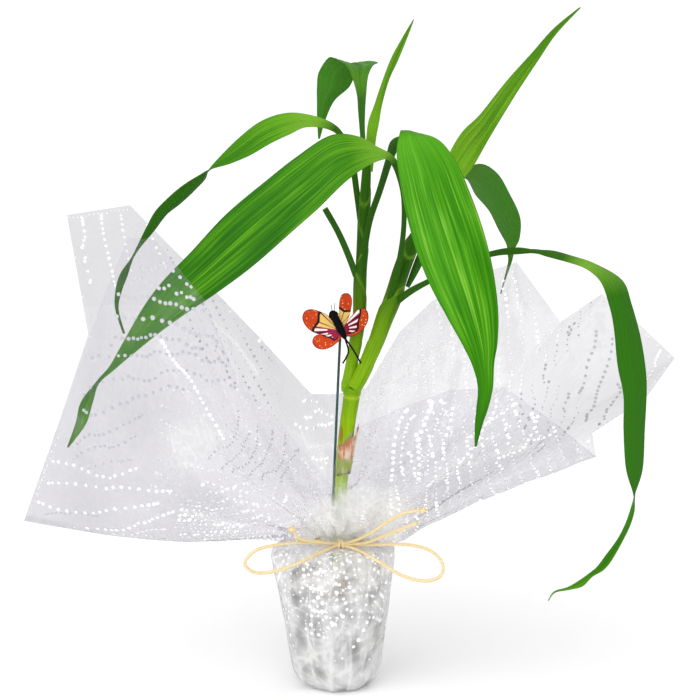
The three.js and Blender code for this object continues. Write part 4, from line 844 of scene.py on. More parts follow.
# rows: left edge and right edge of the blade seen from its upper face, from stalk to tip
leaves = {
    "leaf_front_left": {"blade": 6, "fold": 0.1, "steps": 170, "rows": [
        [23.5, -7, 198, 26, -7, 197], [27.5, -11, 213.5, 30.5, -11, 212.5],
        [30.5, -19, 233, 33, -19, 233], [30.5, -28, 250.5, 33, -28, 250.5],
        [28, -34, 262, 30.5, -34, 263], [24.5, -39, 269.5, 27, -39, 271.5],
        [21.5, -43, 270.5, 19, -38, 276.5], [13.5, -47, 267.5, 10, -38, 281],
        [3.5, -51, 260.5, -3.5, -40, 281.5], [-9, -54, 248, -20, -42, 271.5],
        [-22, -55, 237, -35.5, -44, 259], [-40.5, -54, 221, -53, -44, 244],
        [-58, -51, 207.5, -68.5, -43, 228], [-73.5, -48, 197, -82.5, -42, 213.5],
        [-85, -45, 188.5, -92.5, -41, 200], [-97, -42, 178.5, -103, -39, 182.5],
        [-107.5, -39, 169.5, -109.5, -37, 171.5], [-115, -35, 162.5, -115.5, -37, 164.5],
        [-119, -31, 151.5, -124, -34, 153.5], [-123, -28, 141, -127.5, -30, 142],
        [-132, -25, 129, -132.5, -26, 129.5]]},
    "leaf_front_hanging": {"blade": 6, "fold": -0.12, "steps": 150, "rows": [
        [11, -2.5, 220, 14, -2.5, 219.5], [14, -8, 238.5, 17, -8, 238], [19, -16, 255, 22, -16, 254],
        [23, -26, 270, 26.5, -26, 269], [26, -35, 279.5, 29.5, -35, 277.5],
        [37.5, -44, 282.5, 29.5, -45, 284], [47.5, -52, 279.5, 27.5, -54, 275.5],
        [55.5, -60, 269.5, 28.5, -64, 263.5], [61, -67, 256.5, 31, -72, 249.5],
        [66.5, -73, 240, 36, -80, 232], [71, -79, 222, 42.5, -86, 215.5],
        [73, -85, 205.5, 49.5, -90, 202.5], [72.5, -88, 191.5, 56.5, -92, 190.5],
        [71, -90, 182, 61, -92, 181], [70.5, -91, 170.5, 63.5, -92, 171],
        [68.5, -91, 161.5, 63, -92, 161], [66, -90, 153.5, 62.5, -91, 152.5],
        [63.5, -90, 143.5, 62.5, -91, 143.5]]},
    "leaf_upper_left": {"blade": 5, "fold": 0.15, "steps": 150, "rows": [
        [10.5, 0, 231.5, 13.5, 0, 231.5], [8, 3, 250.5, 11, 3, 251], [5.5, 5, 266.5, 8.5, 5, 267],
        [1.5, 6, 278, 3.5, 6, 279.5], [-5, 5, 283, -3, 7, 286], [-15.5, 3, 284, -14, 7, 290],
        [-23.5, 2, 280.5, -25.5, 8, 291], [-33.5, 2, 276, -37.5, 8, 287], [-44, 2, 270, -48.5, 7, 279],
        [-53.5, 1, 266, -57.5, 5, 270.5], [-63, -1, 263.5, -63.5, 3, 263.5], [-68, -2, 261, -65.5, 3, 258.5],
        [-75, -5, 256.5, -71, 2, 253], [-82.5, -8, 250.5, -78, -2, 246.5],
        [-89, -12, 244, -84, -6, 241.5], [-93, -14, 236.5, -89.5, -10, 234.5],
        [-97.3, -16, 227.5, -96, -12, 227], [-100.6, -17, 221.5, -99.6, -13, 221.5],
        [-105.8, -18, 214, -102.8, -14, 212.5], [-108.3, -18, 205.5, -105.6, -16, 205],
        [-108.5, -19, 196.5, -107, -18, 196.5], [-105, -19, 184.5, -104, -18, 184.5]]},
    "leaf_top_folded": {"blade": 4, "fold": 0.25, "steps": 100, "rows": [
        [12.5, 0.5, 262, 15.5, 0.5, 262.5], [11, 5, 279.5, 13.5, 5, 280], [10, 8, 291.5, 13.5, 8, 291.5],
        [9.5, 10, 299, 14, 11, 299.5], [7.5, 13, 307, 15, 15, 308.5], [4.5, 19, 313.5, 17.5, 21, 314],
        [-1, 28, 316.5, 20, 29, 316], [-5, 35, 318, 14, 35, 315.5], [-10, 41, 310.5, 9, 40, 309.5],
        [-11, 43, 302.5, 5.5, 42, 303], [-11, 45, 295.5, -2, 44, 296], [-11, 46, 287, -6.5, 46, 286.5],
        [-10.5, 47, 276.5, -9.5, 47, 276.5]]},
    "leaf_young_upright": {"blade": 2, "fold": 0.4, "steps": 70, "rows": [
        [13.8, -2, 262.5, 17.2, -2, 262.5], [14, -1, 278, 18.5, -3, 277], [15, 0, 286.5, 20, -4, 286],
        [18, 0, 295, 21.5, -4, 295], [21.5, -1, 306, 25, -5, 307], [26, -3, 317.5, 29, -6, 316],
        [31.5, -4, 327.5, 33.5, -6, 327], [36.5, -6, 336, 37, -6, 336]]},
    "leaf_upper_right": {"blade": 2, "fold": 0.45, "steps": 90, "rows": [
        [45.5, 1, 240, 48.5, 1, 238.5], [49.5, 2, 253.5, 55, 2, 250], [54, 4, 268.5, 62.5, 0, 259.5],
        [61, 6, 281, 67.5, 0, 266.5], [69.5, 8, 289.5, 74, 2, 277.5], [77.5, 11, 299, 81.5, 5, 290],
        [86, 14, 309, 88.5, 9, 301], [96.5, 17, 320.5, 99, 14, 316], [107, 20, 332, 108.5, 18, 329.5],
        [120, 22, 342.5, 121, 22, 342.5]]},
    "leaf_right_behind": {"blade": 5, "fold": -0.2, "steps": 130, "rows": [
        [33.6, -2.2, 206, 35.4, -2.2, 205], [37.2, 0.2, 216, 41, 0.2, 214.5], [41.4, 3, 226, 45.4, 3, 224.5],
        [45.8, 6, 236, 49.4, 6, 234.5], [53.5, 12, 252.5, 55.5, 12, 250.5],
        [63.5, 17, 258, 63.5, 21, 261.5], [70, 24, 249, 72.5, 30, 264.5],
        [76.5, 34, 241, 82.5, 40, 258.5], [81.5, 43, 232.5, 89.5, 47, 247], [85.5, 53, 226, 95, 54, 235],
        [88.5, 58, 220.5, 95.5, 59, 224], [89.5, 62, 215, 93.5, 62, 218], [90, 64, 210.5, 92, 65, 210.5],
        [88.3, 68, 201, 89.2, 68, 201], [86.5, 70, 193, 87.2, 70, 193]]},
    "leaf_far_right": {"blade": 8, "fold": 0.15, "steps": 200, "rows": [
        [27, -6.5, 199.5, 29.5, -6.5, 197], [35, -12, 206, 37, -12, 203.5],
        [44, -19, 211.5, 45.5, -19, 209.5], [58, -29, 220, 59.5, -29, 218],
        [73, -38, 227, 74, -38, 224.5], [86, -46, 229.5, 86.5, -46, 226.5],
        [97.5, -54, 226.5, 98.5, -51, 228.5], [107.5, -60, 224, 109.5, -56, 226.5],
        [115.5, -65, 221, 119.5, -60, 223.5], [121.5, -70, 215.5, 131.5, -63, 216],
        [125, -72, 204.5, 136, -65, 205.5], [127, -73, 193.5, 140, -66, 192.5],
        [129, -74, 178.5, 142.5, -67, 177.5], [132, -74, 164, 143.5, -68, 164],
        [132.5, -72, 147.5, 143.5, -67, 146.5], [134.5, -70, 129, 143, -66, 128],
        [138.5, -68, 116.5, 140, -65, 116], [139.5, -67, 109, 138.5, -64, 109],
        [138, -66, 101, 136.5, -62, 101], [135, -64, 92.5, 133, -60, 92.5],
        [130.5, -61, 82.5, 128, -57, 83.5], [127, -58, 76.5, 124.5, -55, 77.5],
        [122, -56, 72.5, 121, -54, 74], [117.5, -55, 67.5, 115.5, -53, 69.5],
        [111.5, -54, 65.5, 110.5, -53, 66.5], [104.5, -54, 64, 104, -53.5, 64.5],
        [101.5, -54, 60, 101, -54, 60]]},
    "leaf_clipped": {"blade": 9, "fold": 0.2, "steps": 24, "rows": [
        [7.5, -2, 210.5, 10.5, -2, 211.5], [3.5, -4, 221.5, 6.5, -4, 222.5],
        [-1.2, -6, 232.5, 1.4, -6, 234], [-7.5, -8, 244, -5, -8, 245.5]]},
}
# lift is a painted highlight that makes the foot of a blade lighter, and fade is painted shade that makes
# the blade darker towards its tip
leafLooks = {
    "glossyLeafBlade": {
        "deep": "#1b5600", "body": "#2c7200", "streak": "#5a9a10", "foot": "#78ab30",
        "under": "#2c6a08", "stalk": "#2d5f06", "tip": "#7c6a2a", "dryFrom": 0.985,
        "roughness": 0.4, "lift": 0.12, "fade": -0.06},
    # painted light: a lighter copy of the leaf colours, for the hanging leaf that faces the light
    "litLeafBlade": {
        "deep": "#246a00", "body": "#3f8c00", "streak": "#7cbc38", "foot": "#4f9c14",
        "under": "#2f6c0a", "stalk": "#2c5f06", "tip": "#66702a", "dryFrom": 0.99,
        "roughness": 0.33, "lift": 0.0, "fade": 0.12},
    "darkLeafBlade": {
        "deep": "#22540a", "body": "#377514", "streak": "#579328", "foot": "#4c7f1c",
        "under": "#3d7a1c", "stalk": "#2f6413", "tip": "#6a7a3a", "dryFrom": 0.985,
        "roughness": 0.42, "lift": 0.0, "fade": 0.0},
    "youngLeafBlade": {
        "deep": "#3a7405", "body": "#53890e", "streak": "#74a622", "foot": "#6ca41a",
        "under": "#427a0c", "stalk": "#5c8a12", "tip": "#7d8a30", "dryFrom": 0.99,
        "roughness": 0.38, "lift": 0.06, "fade": 0.06},
}
leafFinish = {
    "leaf_front_left": ("leaf", "glossyLeafBlade"), "leaf_front_hanging": ("leaf", "litLeafBlade"),
    "leaf_upper_left": ("leaf", "glossyLeafBlade"), "leaf_top_folded": ("leaf_dark", "darkLeafBlade"),
    "leaf_young_upright": ("leaf_young", "youngLeafBlade"),
    "leaf_upper_right": ("leaf_young", "youngLeafBlade"),
    "leaf_right_behind": ("leaf_dark", "darkLeafBlade"), "leaf_far_right": ("leaf", "glossyLeafBlade"),
    "leaf_clipped": ("leaf_dark", "darkLeafBlade"),
}


# Living leaf of a dracaena: waxy cuticle over parallel veins, which streaks the shine lengthwise
def leafSurface(look):
    def surface(tree):
        across, along, life, upper, opened = [
            addNode(tree, "ShaderNodeAttribute", attribute_name=name).outputs["Fac"]
            for name in ("acrossBlade", "alongBlade", "life", "upperFace", "opened")]
        stretchedAcross = addNode(tree, "ShaderNodeMath", {0: across, 1: 11.0}, operation="MULTIPLY")
        stretchedAlong = addNode(tree, "ShaderNodeMath", {0: along, 1: 9.0}, operation="MULTIPLY")
        veinPlace = addNode(tree, "ShaderNodeCombineXYZ", {
            "X": stretchedAcross, "Y": stretchedAlong, "Z": upper})
        veins = addNode(tree, "ShaderNodeTexNoise", {
            "Vector": veinPlace, "Scale": 1.0, "Detail": 4.0, "Roughness": 0.65})
        broadAlong = addNode(tree, "ShaderNodeMath", {0: along, 1: 16.0}, operation="MULTIPLY")
        broadPlace = addNode(tree, "ShaderNodeCombineXYZ", {"X": across, "Y": broadAlong, "Z": 3.0})
        broad = addNode(tree, "ShaderNodeTexNoise", {"Vector": broadPlace, "Scale": 1.3, "Detail": 2.0})
        tone = addNode(tree, "ShaderNodeMath", {
            0: veins.outputs["Fac"], 1: 0.75, 2: -0.03}, operation="MULTIPLY_ADD")
        toneBoth = addNode(tree, "ShaderNodeMath", {
            0: broad.outputs["Fac"], 1: 0.3, 2: tone}, operation="MULTIPLY_ADD")
        # painted highlight near the foot and painted shade towards the tip
        footHighlit = addNode(tree, "ShaderNodeMapRange", {
            "Value": life, "From Min": 0.3, "From Max": 0.5, "To Min": look["lift"], "To Max": 0.0})
        tipShaded = addNode(tree, "ShaderNodeMapRange", {
            "Value": life, "From Min": 0.6, "From Max": 0.95, "To Min": 0.0, "To Max": -look["fade"]})
        changed = addNode(tree, "ShaderNodeMath", {0: footHighlit, 1: tipShaded}, operation="ADD")
        toneAll = addNode(tree, "ShaderNodeMath", {0: toneBoth, 1: changed}, operation="ADD")
        # the lightest stop draws paler vein streaks: partly the veins' own colour, partly painted highlight
        # along them
        blade = addNode(tree, "ShaderNodeValToRGB", {"Fac": toneAll}, stops=[
            (0.36, look["deep"]), (0.50, look["body"]), (0.64, look["streak"])])
        # the underside colour is partly the underside's own colour, partly painted shade
        coat = addNode(tree, "ShaderNodeMix", {
            0: upper, 6: look["under"], 7: blade.outputs["Color"]}, data_type="RGBA")
        # over that the colours of the blade's foot, its stalk and its dry tip, each fading in or out; the
        # stalk's dark green is partly its own colour, partly painted shade
        for value, low, high, first, last, over in (
                (opened, 1.0, 2.6, 0.75, 0.0, "foot"), (opened, 0.45, 0.95, 1.0, 0.0, "stalk"),
                (life, look["dryFrom"], look["dryFrom"] + 0.02, 0.0, 1.0, "tip")):
            share = addNode(tree, "ShaderNodeMapRange", {
                "Value": value, "From Min": low, "From Max": high, "To Min": first, "To Max": last})
            coat = addNode(tree, "ShaderNodeMix", {
                0: share, 6: coat.outputs[2], 7: look[over]}, data_type="RGBA")
        shine = addNode(tree, "ShaderNodeMapRange", {
            "Value": veins.outputs["Fac"],
            "To Min": look["roughness"] - 0.1, "To Max": look["roughness"] + 0.16})
        relief = addNode(tree, "ShaderNodeBump", {
            "Strength": 0.6, "Distance": 0.0006, "Height": veins.outputs["Fac"]})
        return addNode(tree, "ShaderNodeBsdfPrincipled", {
            "Base Color": coat.outputs[2], "Roughness": shine, "Normal": relief, "Specular IOR Level": 0.1})
    return surface


def makeBlade(name, leaf):
    look = bladeLook
    rows, steps, columns = leaf["rows"], leaf["steps"], look["across"]
    u = np.linspace(0, len(rows) - 1, steps + 1)
    both = rowsAt(rows, u)
    left, right = both[:, :3], both[:, 3:]
    middle = (left + right) / 2
    along = unit(np.gradient(middle, axis=0))
    over = right - left
    up = unit(np.cross(over, along))
    half = np.linalg.norm(over, axis=1) / 2
    opened = smoothStep(u, leaf["blade"] - 2.5, leaf["blade"])
    thickMiddle = look["stalkThick"] + (look["thick"] - look["stalkThick"]) * opened
    edge = look["edge"] + look["stalkEdge"] * (1 - opened)
    s = np.linspace(-1, 1, columns)
    places = left[:, None] + over[:, None] * ((s + 1) / 2)[None, :, None]
    thick = edge[:, None] + (thickMiddle - edge)[:, None] * (1 - s ** 2)[None]
    fold = -leaf["fold"] * half[:, None] * (1 - np.sqrt(s ** 2 + look["creaseRound"]))[None]
    wave = (look["waveDepth"] * half * np.sin(look["waveTurn"] * u) * opened)[:, None] * s[None]
    ripple = look["rippleDepth"] * np.minimum(half / 6, 1) * opened
    ripple = ripple[:, None] * np.sin(2 * math.pi * look["ripples"] / 2 * s + 0.8)[None]
    sink = fold + wave + ripple
    upper = places + up[:, None] * (sink + thick / 2)[..., None]
    lower = places + up[:, None] * (sink - thick / 2)[..., None]
    lengths = np.concatenate([[0], np.cumsum(np.linalg.norm(np.diff(middle, axis=0), axis=1))])
    count = (steps + 1) * columns
    grow = opened + np.maximum(u - leaf["blade"], 0)
    values = {
        "acrossBlade": np.tile(np.tile(s, steps + 1), 2),
        "alongBlade": np.tile(np.repeat(lengths * mm, columns), 2),
        "life": np.tile(np.repeat(u / u[-1], columns), 2),
        "opened": np.tile(np.repeat(grow, columns), 2),
        "upperFace": np.concatenate([np.ones(count), np.zeros(count)]),
    }
    vertices = np.concatenate([upper.reshape(-1, 3), lower.reshape(-1, 3)])
    faces = slabFaces(steps + 1, columns)
    return newPiece(name, vertices, faces, attributes=values)


leafMaterials = {name: newMaterial(name, leafSurface(look)) for name, look in leafLooks.items()}
for nodeName, leaf in leaves.items():
    words = nodeName.split("_")
    pieceName = words[0] + "".join(word.capitalize() for word in words[1:])
    slotName, finish = leafFinish[nodeName]
    finishPiece(makeBlade(pieceName, leaf), leafMaterials[finish], [nodeName])
print("leaves:", len(leaves))


# Cane and shoots

# points up the middle of each stem with its radius
caneRows = [
    [-2.5, 4, 8, 3.4], [-1.6, 3, 30, 3.7], [-0.9, 1.4, 55, 3.7], [-0.4, 0, 77, 3.7],
    [0.2, -0.8, 92, 3.7], [0.5, -1, 98, 4.1], [0.8, -1.1, 103, 3.7], [3.5, -2, 126, 3.8],
    [5, -2, 138, 3.9], [6.5, -2.2, 148, 4.1], [7, -2.4, 152.5, 4.5], [7.3, -2.5, 154.6, 4.1],
]
rightShootRows = [
    [7.9, -2.6, 155.4, 4.1], [10.3, -3.2, 159, 3.8], [14, -4, 166.5, 3.7], [19.5, -5, 179.5, 3.9],
    [23, -5, 189.5, 4], [27.5, -4, 201.5, 4.2], [31.5, -3, 214, 4], [36, -1, 225, 3.6],
    [41, 1, 233.5, 2.9], [45, 3, 239, 2],
]
leftShootRows = [
    [4.6, -1.4, 152.4, 2.6], [5, -1, 156.5, 3.1], [6.5, -1, 166, 2.8], [9, -1, 178.5, 3.1],
    [10.5, -1, 190, 3.2], [11, -1, 204, 3.1], [11.5, -1, 216.5, 2.7], [12.5, -1, 231, 2.8],
    [13.5, -1, 251, 2.6], [14.5, -1, 269, 2],
]
stemLook = {
    "sides": 32, "sheathStep": 0.28, "sheathLength": 26, "mouthSlant": 6, "ringDepth": 0.3,
    "cane": {"low": "#a4c80a", "high": "#6fa20a", "ring": "#a4c026", "streak": "#9a6a2c"},
    "shoot": {"low": "#82b20c", "high": "#2c5e00", "deep": "#1a4200", "rim": "#7aa82c"},
}
# sheath mouths on a shoot: height, then the way the leaf leaves, in degrees from +X
rightMouths = [(172, 200), (197, -60), (201, -20), (226, 100), (236, 20)]
leftMouths = [(163, 20), (183, 200), (207, 190), (219, -30), (233, 160), (252, 80)]


def makeStem(name, rows, mouths, rings):
    look = stemLook
    u = np.linspace(0, len(rows) - 1, (len(rows) - 1) * 14 + 1)
    line = rowsAt(rows, u)
    points, radii = line[:, :3], line[:, 3]

    def shape(i, angle, out):
        z = points[i][2]
        extra = 0.0
        for height, way in mouths:  # below each slanted mouth the sheath lies over the stem
            lean = out[0] * math.cos(math.radians(way)) + out[1] * math.sin(math.radians(way))
            mouth = height + look["mouthSlant"] * lean
            covered = 1 - smoothStep(z, mouth - 0.5, mouth + 0.5)
            extra += look["sheathStep"] * covered * smoothStep(z, mouth - look["sheathLength"], mouth)
        for height in rings:
            extra -= look["ringDepth"] * math.exp(-((z - height) / 0.45) ** 2)
        return float(extra)

    sides = look["sides"]
    rimmed = np.zeros((len(points), sides))
    outs = unit(tubeGrid(points, radii, sides, shape) - points[:, None])
    for height, way in mouths:
        lean = outs[..., 0] * math.cos(math.radians(way)) + outs[..., 1] * math.sin(math.radians(way))
        above = points[:, 2:3] - height - look["mouthSlant"] * lean
        rimmed = np.maximum(rimmed, np.exp(-(above / 0.8) ** 2))
    ringed = np.zeros(len(points))
    for height in rings:
        ringed = np.maximum(ringed, np.exp(-((points[:, 2] - height) / 1.1) ** 2))
    values = {
        "rim": np.concatenate([rimmed.ravel(), [0, 0]]),
        "ring": np.concatenate([np.repeat(ringed, sides), [0, 0]]),
    }
    return tubePiece(name, points, radii, sides, shape, values)


# Green bark of the cane: smooth and waxy, yellower low down, with pale scars where leaves were
def caneSurface(tree):
    look = stemLook["cane"]
    place = addNode(tree, "ShaderNodeTexCoord").outputs["Object"]
    height = addNode(tree, "ShaderNodeSeparateXYZ", {"Vector": place}).outputs["Z"]
    rise = addNode(tree, "ShaderNodeMapRange", {"Value": height, "From Min": 0.12, "From Max": 0.156})
    green = addNode(tree, "ShaderNodeMix", {0: rise, 6: look["low"], 7: look["high"]}, data_type="RGBA")
    drawn = addNode(tree, "ShaderNodeMapping", {"Vector": place, "Scale": (900.0, 900.0, 60.0)})
    fibre = addNode(tree, "ShaderNodeTexNoise", {"Vector": drawn, "Scale": 1.0, "Detail": 3.0})
    fibreTone = addNode(tree, "ShaderNodeMapRange", {
        "Value": fibre.outputs["Fac"], "From Min": 0.3, "From Max": 0.7, "To Min": 0.8, "To Max": 1.12})
    streaked = addNode(tree, "ShaderNodeVectorMath", {
        0: green.outputs[2], "Scale": fibreTone}, operation="SCALE")
    ring = addNode(tree, "ShaderNodeAttribute", attribute_name="ring").outputs["Fac"]
    ringed = addNode(tree, "ShaderNodeMix", {
        0: ring, 6: streaked.outputs[0], 7: look["ring"]}, data_type="RGBA")
    # a brown streak on the front of the cane
    scarPlace = addNode(tree, "ShaderNodeVectorMath", {
        0: place, 1: (0.0015, -0.005, 0.1315)}, operation="SUBTRACT")
    scarScaled = addNode(tree, "ShaderNodeVectorMath", {
        0: scarPlace, 1: (600.0, 250.0, 170.0)}, operation="MULTIPLY")
    scarFar = addNode(tree, "ShaderNodeVectorMath", {0: scarScaled}, operation="LENGTH").outputs["Value"]
    scarEdge = addNode(tree, "ShaderNodeMath", {
        0: fibre.outputs["Fac"], 1: 0.6, 2: scarFar}, operation="MULTIPLY_ADD")
    scar = addNode(tree, "ShaderNodeMapRange", {
        "Value": scarEdge, "From Min": 0.8, "From Max": 1.25, "To Min": 0.75, "To Max": 0.0})
    marked = addNode(tree, "ShaderNodeMix", {
        0: scar, 6: ringed.outputs[2], 7: look["streak"]}, data_type="RGBA")
    relief = addNode(tree, "ShaderNodeBump", {
        "Strength": 0.3, "Distance": 0.0003, "Height": fibre.outputs["Fac"]})
    return addNode(tree, "ShaderNodeBsdfPrincipled", {
        "Base Color": marked.outputs[2], "Roughness": 0.4, "Normal": relief, "Specular IOR Level": 0.12})


# Young shoot wrapped in leaf sheaths: satin green with fine lengthwise fibres and pale sheath rims
def shootSurface(tree):
    look = stemLook["shoot"]
    place = addNode(tree, "ShaderNodeTexCoord").outputs["Object"]
    height = addNode(tree, "ShaderNodeSeparateXYZ", {"Vector": place}).outputs["Z"]
    along, around, rim = [
        addNode(tree, "ShaderNodeAttribute", attribute_name=name).outputs["Fac"]
        for name in ("along", "round", "rim")]
    fibreRound = addNode(tree, "ShaderNodeMath", {0: around, 1: 26.0}, operation="MULTIPLY")
    fibreAlong = addNode(tree, "ShaderNodeMath", {0: along, 1: 35.0}, operation="MULTIPLY")
    fibrePlace = addNode(tree, "ShaderNodeCombineXYZ", {"X": fibreRound, "Y": fibreAlong})
    fibre = addNode(tree, "ShaderNodeTexNoise", {"Vector": fibrePlace, "Scale": 1.0, "Detail": 3.0})
    rise = addNode(tree, "ShaderNodeMapRange", {"Value": height, "From Min": 0.168, "From Max": 0.212})
    green = addNode(tree, "ShaderNodeMix", {0: rise, 6: look["low"], 7: look["high"]}, data_type="RGBA")
    depth = addNode(tree, "ShaderNodeMapRange", {
        "Value": fibre.outputs["Fac"], "From Min": 0.52, "From Max": 0.72, "To Max": 0.55})
    deep = addNode(tree, "ShaderNodeMix", {
        0: depth, 6: green.outputs[2], 7: look["deep"]}, data_type="RGBA")
    rimShare = addNode(tree, "ShaderNodeMath", {0: rim, 1: 0.55}, operation="MULTIPLY")
    rimmed = addNode(tree, "ShaderNodeMix", {
        0: rimShare, 6: deep.outputs[2], 7: look["rim"]}, data_type="RGBA")
    relief = addNode(tree, "ShaderNodeBump", {
        "Strength": 0.35, "Distance": 0.0003, "Height": fibre.outputs["Fac"]})
    return addNode(tree, "ShaderNodeBsdfPrincipled", {
        "Base Color": rimmed.outputs[2], "Roughness": 0.4, "Normal": relief, "Specular IOR Level": 0.12})


caneBark = newMaterial("greenCaneBark", caneSurface)
shootSkin = newMaterial("greenShootSkin", shootSurface)
finishPiece(makeStem("caneStem", caneRows, [], [99.6, 150.4]), caneBark, ["cane"])
finishPiece(makeStem("shootLeft", leftShootRows, leftMouths, []), shootSkin, ["shoot_left"])
finishPiece(makeStem("shootRight", rightShootRows, rightMouths, []), shootSkin, ["shoot_right"])
print("cane and shoots ready")


# Dry sheath on the cane

sheathLook = {
    "firstAngle": -125, "lastAngle": 25, "foot": 111, "topLeft": 126, "topRight": 136,
    "tight": 4.5, "loose": 5.6, "thick": 0.22, "columns": 48, "rows": 36, "greenTop": 121, "rimTop": 114.6,
    "tornTop": 1.6, "frayedTop": 0.8, "tornFoot": 1.8, "crumpled": 0.5, "curled": 0.9,
    "pale": "#f0dcbc", "brown": "#c9763a", "dark": "#9c5420", "green": "#8fb23a", "rim": "#7a4a30",
}


def makeSheath():
    look = sheathLook
    line = np.array(caneRows, float)
    grid = np.empty((look["rows"], look["columns"], 3))
    for i in range(look["rows"]):
        up = i / (look["rows"] - 1)
        for j in range(look["columns"]):
            share = j / (look["columns"] - 1)
            angle = math.radians(look["firstAngle"] + (look["lastAngle"] - look["firstAngle"]) * share)
            top = look["topLeft"] + (look["topRight"] - look["topLeft"]) * share
            torn = look["tornTop"] * noise.noise(Vector((share * 9, 0.3, 0)))
            torn += look["frayedTop"] * noise.noise(Vector((share * 31, 4, 0)))
            foot = look["foot"] + look["tornFoot"] * noise.noise(Vector((share * 7, 9, 2)))
            z = foot + (top + torn - foot) * up
            x = np.interp(z, line[:, 2], line[:, 0])
            y = np.interp(z, line[:, 2], line[:, 1])
            curl = look["crumpled"] * noise.noise(Vector((share * 5, up * 3, 1)))
            curl += look["curled"] * up ** 3 * abs(share - 0.4)
            radius = look["tight"] + (look["loose"] - look["tight"]) * up + curl
            grid[i, j] = (x + radius * math.cos(angle), y + radius * math.sin(angle), z)
    out = unit(np.cross(np.gradient(grid, axis=1), np.gradient(grid, axis=0)))
    half = out * look["thick"] / 2
    both = np.concatenate([(grid + half).reshape(-1, 3), (grid - half).reshape(-1, 3)])
    return newPiece("paperSheath", both, slabFaces(look["rows"], look["columns"]))


# Dried leaf sheath: thin brown paper with darker fibres along it
def sheathSurface(tree):
    look = sheathLook
    place = addNode(tree, "ShaderNodeTexCoord").outputs["Object"]
    drawn = addNode(tree, "ShaderNodeMapping", {"Vector": place, "Scale": (1400.0, 1400.0, 120.0)})
    fibre = addNode(tree, "ShaderNodeTexNoise", {
        "Vector": drawn, "Scale": 1.0, "Detail": 4.0, "Roughness": 0.6})
    blotch = addNode(tree, "ShaderNodeTexNoise", {"Vector": place, "Scale": 140.0, "Detail": 2.0})
    tone = addNode(tree, "ShaderNodeMath", {
        0: fibre.outputs["Fac"], 1: blotch.outputs["Fac"]}, operation="ADD")
    halfTone = addNode(tree, "ShaderNodeMath", {0: tone, 1: 0.5}, operation="MULTIPLY")
    colour = addNode(tree, "ShaderNodeValToRGB", {"Fac": halfTone}, stops=[
        (0.38, look["dark"]), (0.5, look["brown"]), (0.62, look["pale"])])
    # the lower part is still green, down to a dark rim where it grew from the cane
    height = addNode(tree, "ShaderNodeSeparateXYZ", {"Vector": place}).outputs["Z"]
    wavy = addNode(tree, "ShaderNodeMath", {
        0: blotch.outputs["Fac"], 1: 0.006, 2: height}, operation="MULTIPLY_ADD")
    coat = colour.outputs["Color"]
    for top, fade, most, over in (("greenTop", 2.5, 0.85, "green"), ("rimTop", 1.2, 0.9, "rim")):
        share = addNode(tree, "ShaderNodeMapRange", {
            "Value": wavy, "From Min": look[top] * mm, "From Max": (look[top] + fade) * mm,
            "To Min": most, "To Max": 0.0})
        coat = addNode(tree, "ShaderNodeMix", {
            0: share, 6: coat, 7: look[over]}, data_type="RGBA").outputs[2]
    relief = addNode(tree, "ShaderNodeBump", {
        "Strength": 0.5, "Distance": 0.0003, "Height": fibre.outputs["Fac"]})
    return addNode(tree, "ShaderNodeBsdfPrincipled", {
        "Base Color": coat, "Roughness": 0.75, "Normal": relief})


finishPiece(makeSheath(), newMaterial("dryPlantSheath", sheathSurface), ["dry_sheath"])
print("dry sheath ready")


# Glass cup

cupLook = {"sides": 96, "clear": "#fafcfc", "roughness": 0.03, "ior": 1.45}
# the wall from the middle of its underside over the rim to the middle of the floor: radius and height
cupOutside = [
    [0, 1], [13, 1], [15.6, 1.9], [18.4, 5.4], [20.6, 14], [22, 26], [23.4, 40], [24.6, 54], [25, 57.3],
]
cupRim = [[24.75, 57.9], [24.2, 58.15], [23.6, 57.9], [23.35, 57.3]]
cupInside = [[23, 54], [21.8, 40], [20.4, 26], [19, 14], [16.8, 7.4], [13, 3.6], [0, 3.6]]


def makeCup():
    wall = rowsAt(np.array(cupOutside), np.linspace(1, len(cupOutside) - 1, 40))
    inner = rowsAt(np.array(cupInside), np.linspace(0, len(cupInside) - 2, 34))
    profile = np.concatenate([wall, cupRim, inner])
    sides = cupLook["sides"]
    angles = np.linspace(0, 2 * math.pi, sides, endpoint=False)
    points = [(r * math.cos(a), r * math.sin(a), z) for r, z in profile for a in angles]
    points += [(0, 0, profile[0][1]), (0, 0, profile[-1][1])]
    faces = gridFaces(len(profile), sides, True) + capFaces(len(profile), sides)
    return newPiece("glassCup", points, faces)


# Soda-lime glass, pressed: clear, with bright edges where it is seen at a slant
def glassSurface(tree):
    clear = addNode(tree, "ShaderNodeBsdfTransparent", {"Color": cupLook["clear"]})
    gloss = addNode(tree, "ShaderNodeBsdfAnisotropic", {
        "Color": "#ffffff", "Roughness": cupLook["roughness"]})
    shine = addNode(tree, "ShaderNodeFresnel", {"IOR": cupLook["ior"]})
    return addNode(tree, "ShaderNodeMixShader", {0: shine, 1: clear, 2: gloss})


finishPiece(makeCup(), newMaterial("pressedClearGlass", glassSurface), ["cup"])
print("cup ready")


# Pebbles

pebbleLook = {
    "floor": 4.4, "top": 58, "layer": 6.2, "ringStep": 6.4, "smallest": 3.0, "spread": 1.2, "wallGap": 0.6,
    "stretches": ((0.95, 1.15), (0.85, 1.05), (0.72, 0.92)), "lumpiness": 0.9,
    "heap": 16, "heapFoot": 58.5, "heapRise": 2.5, "heapSize": 3.4,
    "white": "#fdfcfa", "grey": "#e6e6e5", "dark": "#8c8880", "brown": "#7d6846", "tan": "#cbb791",
}


def cupInnerRadius(z):
    wall = np.array(cupInside[:-1][::-1], float)
    return float(np.interp(z, wall[:, 1], wall[:, 0]))


